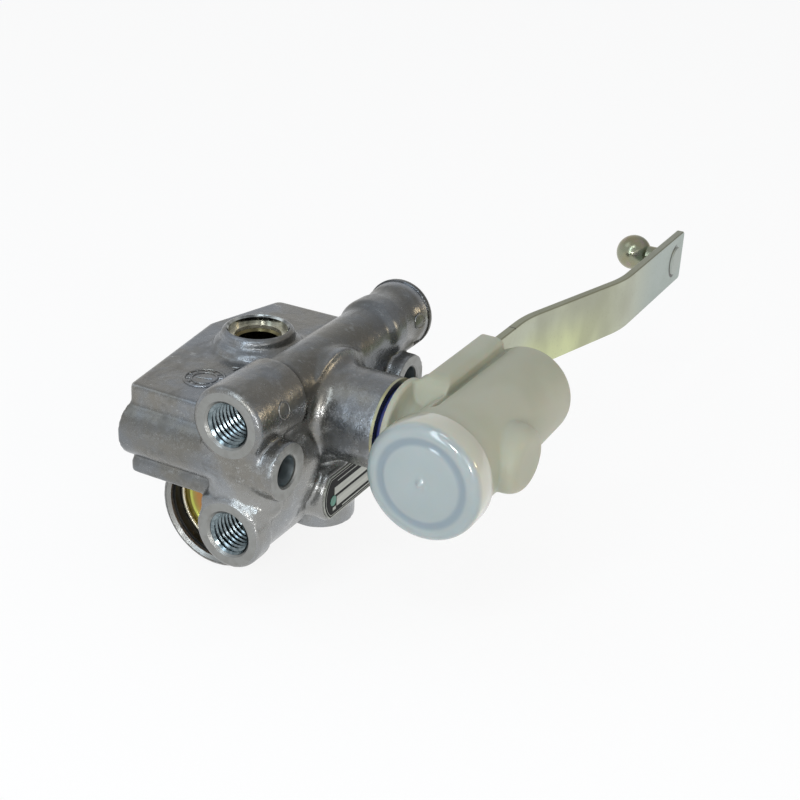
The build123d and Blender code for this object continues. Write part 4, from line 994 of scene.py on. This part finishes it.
bmesh.ops.recalc_face_normals(plate_mesh, faces=plate_mesh.faces)
plate = shaped("data_plate_sheet", plate_mesh)
for finish in (plate_ink, bare_metal, dot_paint):
    plate.data.materials.append(finish)
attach(plate, "housing")
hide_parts("data_plate")

# Cast marks, raised on the skin by the die: a bare date dial on the flat top with a small arrow pad beside
# it, and the rings that the ejector pins leave on the bosses.
DIAL_AT = (-33.9, -21.2, 12.98)
DIAL_R = 5.4
DIAL_INNER_R = 3.4


def cast_ring(name, centre, along, radius, wire, around=48):
    """A low raised ring, its lower half sunk in the casting."""
    profile = []
    for i in range(8):
        turn = 2 * math.pi * i / 8
        profile.append((wire * math.sin(turn), radius + wire * math.cos(turn)))
    return turned(name, profile, centre, along, ring=True, around=around)


marks = [
    cast_ring("dial_outer", DIAL_AT, (0, 0, 1), DIAL_R, 0.42),
    cast_ring("dial_inner", DIAL_AT, (0, 0, 1), DIAL_INNER_R, 0.34),
]
for i in range(12):
    turn = 2 * math.pi * i / 12
    out = Vector((math.cos(turn), math.sin(turn), 0))
    marks.append(turned("dial_tick", [(0.0, 0.26), (1.0, 0.34)], Vector(DIAL_AT) + out * 3.9, out, around=8))
pointer_foot = Vector(DIAL_AT) - Vector((2.2, 0.6, 0))
marks.append(turned("dial_pointer", [(0.0, 0.22), (4.4, 0.26)], pointer_foot, (1, 0.27, 0), around=8))
marks.append(cast_ring("arrow_pad", (-30.5, -12.0, 12.98), (0, 0, 1), 1.2, 0.3, around=3))
# (axis of the boss, its radius there, y, angle from +X, lean along the boss)
for (axis_x, axis_z), boss_r, at_y, degrees, lean in (
    (TUBE_AXIS, 10.4, -29.0, 14.0, 0.0),
    (TUBE_AXIS, 9.75, 44.4, 8.0, -0.2),
    (LOWER_AXIS, 8.9, -26.0, 6.0, 0.0),
):
    turn = math.radians(degrees)
    out = Vector((math.cos(turn), 0, math.sin(turn)))
    foot = Vector((axis_x, at_y, axis_z)) + out * (boss_r - 0.12)
    out = (out + Vector((0, lean, 0))).normalized()
    marks.append(cast_ring("pin_ring", foot, out, 2.2, 0.3))
    marks.append(turned("pin_pad", [(-1.0, 2.1), (0.05, 2.1), (0.12, 1.9)], foot, out))
cast_marks = joined("cast_marks", marks)
in_finish([cast_marks], cast_skin)
smooth_above(cast_marks, 60)
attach(cast_marks, "housing")

# The pieces that stay as the CAD has them, each with the finish of its own stuff: turned steel and brass,
# sintered bronze, flat spring steel, moulded rubber, felt and black acetal.


def stuff(name, dark, light, metallic, roughness, scale=300.0, stretch=(1.0, 1.0, 1.0), relief=0.15):
    """A plain finish: a cloud between two tones, with darker specks."""
    metal, shader, place = finish_named(name, Metallic=metallic)
    cloud = place.noise(scale, detail=4.0, roughness=0.6, stretch=stretch).step(0.35, 0.7)
    speck = place.noise(scale * 5, detail=3.0).step(0.55, 0.85)
    darker = tuple(0.6 * value for value in dark)
    feed(shader, "Base Color", (speck * 0.25).mix(cloud.mix(dark, light), darker))
    feed(shader, "Roughness", cloud * 0.12 + speck * 0.08 + roughness)
    feed(shader, "Normal", speck.bump(relief, 0.00004))
    return metal


steel = stuff("ground_steel", (0.42, 0.42, 0.41), (0.56, 0.56, 0.54), 1.0, 0.22, stretch=(0.1, 1.0, 1.0))
dressed(["lever_shaft", "override_pin", "control_spool"], steel, 0.06)
brass = stuff("turned_brass", (0.30, 0.23, 0.10), (0.42, 0.33, 0.15), 1.0, 0.24)
dressed(["check_valve_seat", "valve_sleeve"], brass, 0.06)
collet_shades = ((0.10, 0.09, 0.05), (0.20, 0.165, 0.08))
collet_brass = stuff("brass_in_shade", *collet_shades, 1.0, 0.16, stretch=(1.0, 1.0, 0.1))
dressed(["supply_port_collet"], collet_brass, 0.06)
dressed(["shaft_bush"], stuff("sintered_bronze", (0.28, 0.17, 0.09), (0.40, 0.26, 0.14), 0.9, 0.42))
plug_aluminium = stuff("turned_aluminium", (0.42, 0.43, 0.43), (0.56, 0.57, 0.56), 0.95, 0.28)
dressed(["control_bore_plug"], plug_aluminium, 0.1)
dressed(["supply_port_snap_ring"], ring_steel, 0.12)
dark_spring = stuff("spring_steel_dark", (0.10, 0.10, 0.10), (0.18, 0.18, 0.17), 0.9, 0.35)
dressed(["plug_snap_ring"], dark_spring, 0.08)
rubber = stuff("black_rubber", (0.012, 0.012, 0.012), (0.030, 0.029, 0.028), 0.0, 0.50)
dressed(["supply_port_seal", "shaft_lip_seal", "sleeve_seals"], rubber)
dressed(["dust_seal"], stuff("blue_rubber", (0.008, 0.014, 0.10), (0.014, 0.026, 0.17), 0.0, 0.38), 0.1)
dressed(["exhaust_flap"], stuff("orange_rubber", (0.40, 0.17, 0.05), (0.52, 0.26, 0.09), 0.0, 0.42), 0.1)
felt = stuff("grey_felt", (0.16, 0.155, 0.14), (0.26, 0.25, 0.23), 0.0, 0.85, scale=900.0, relief=0.8)
dressed(["silencer_pad"], felt)
acetal = stuff("black_acetal", (0.018, 0.018, 0.019), (0.040, 0.040, 0.041), 0.0, 0.34)
dressed(["check_valve", "override_piston"], acetal, 0.08)

# Springs: the check valve's and the override's two, coiled from round wire. Each sits between two pieces that
# move apart, and is kept as a copy of its CAD mesh where it stands.
wire = stuff("spring_wire", (0.22, 0.22, 0.21), (0.38, 0.38, 0.36), 1.0, 0.28)
dressed(["check_valve_spring", "override_spring_front", "override_spring_rear"], wire)


def closing_coil(name, axis, fixed_is_high=False):
    """A copy of a coil spring's CAD mesh where it stands, with the CAD node hidden."""
    low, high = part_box(name)
    for reach in (high, low) if fixed_is_high else (low, high):
        end = (low + high) / 2
        end["XYZ".index(axis)] = reach["XYZ".index(axis)]
    coil = placed(name + "_wire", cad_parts[name].data.copy())
    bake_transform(coil)
    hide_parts(name)


closing_coil("check_valve_spring", "Z")
closing_coil("override_spring_front", "Y")
closing_coil("override_spring_rear", "Y", fixed_is_high=True)
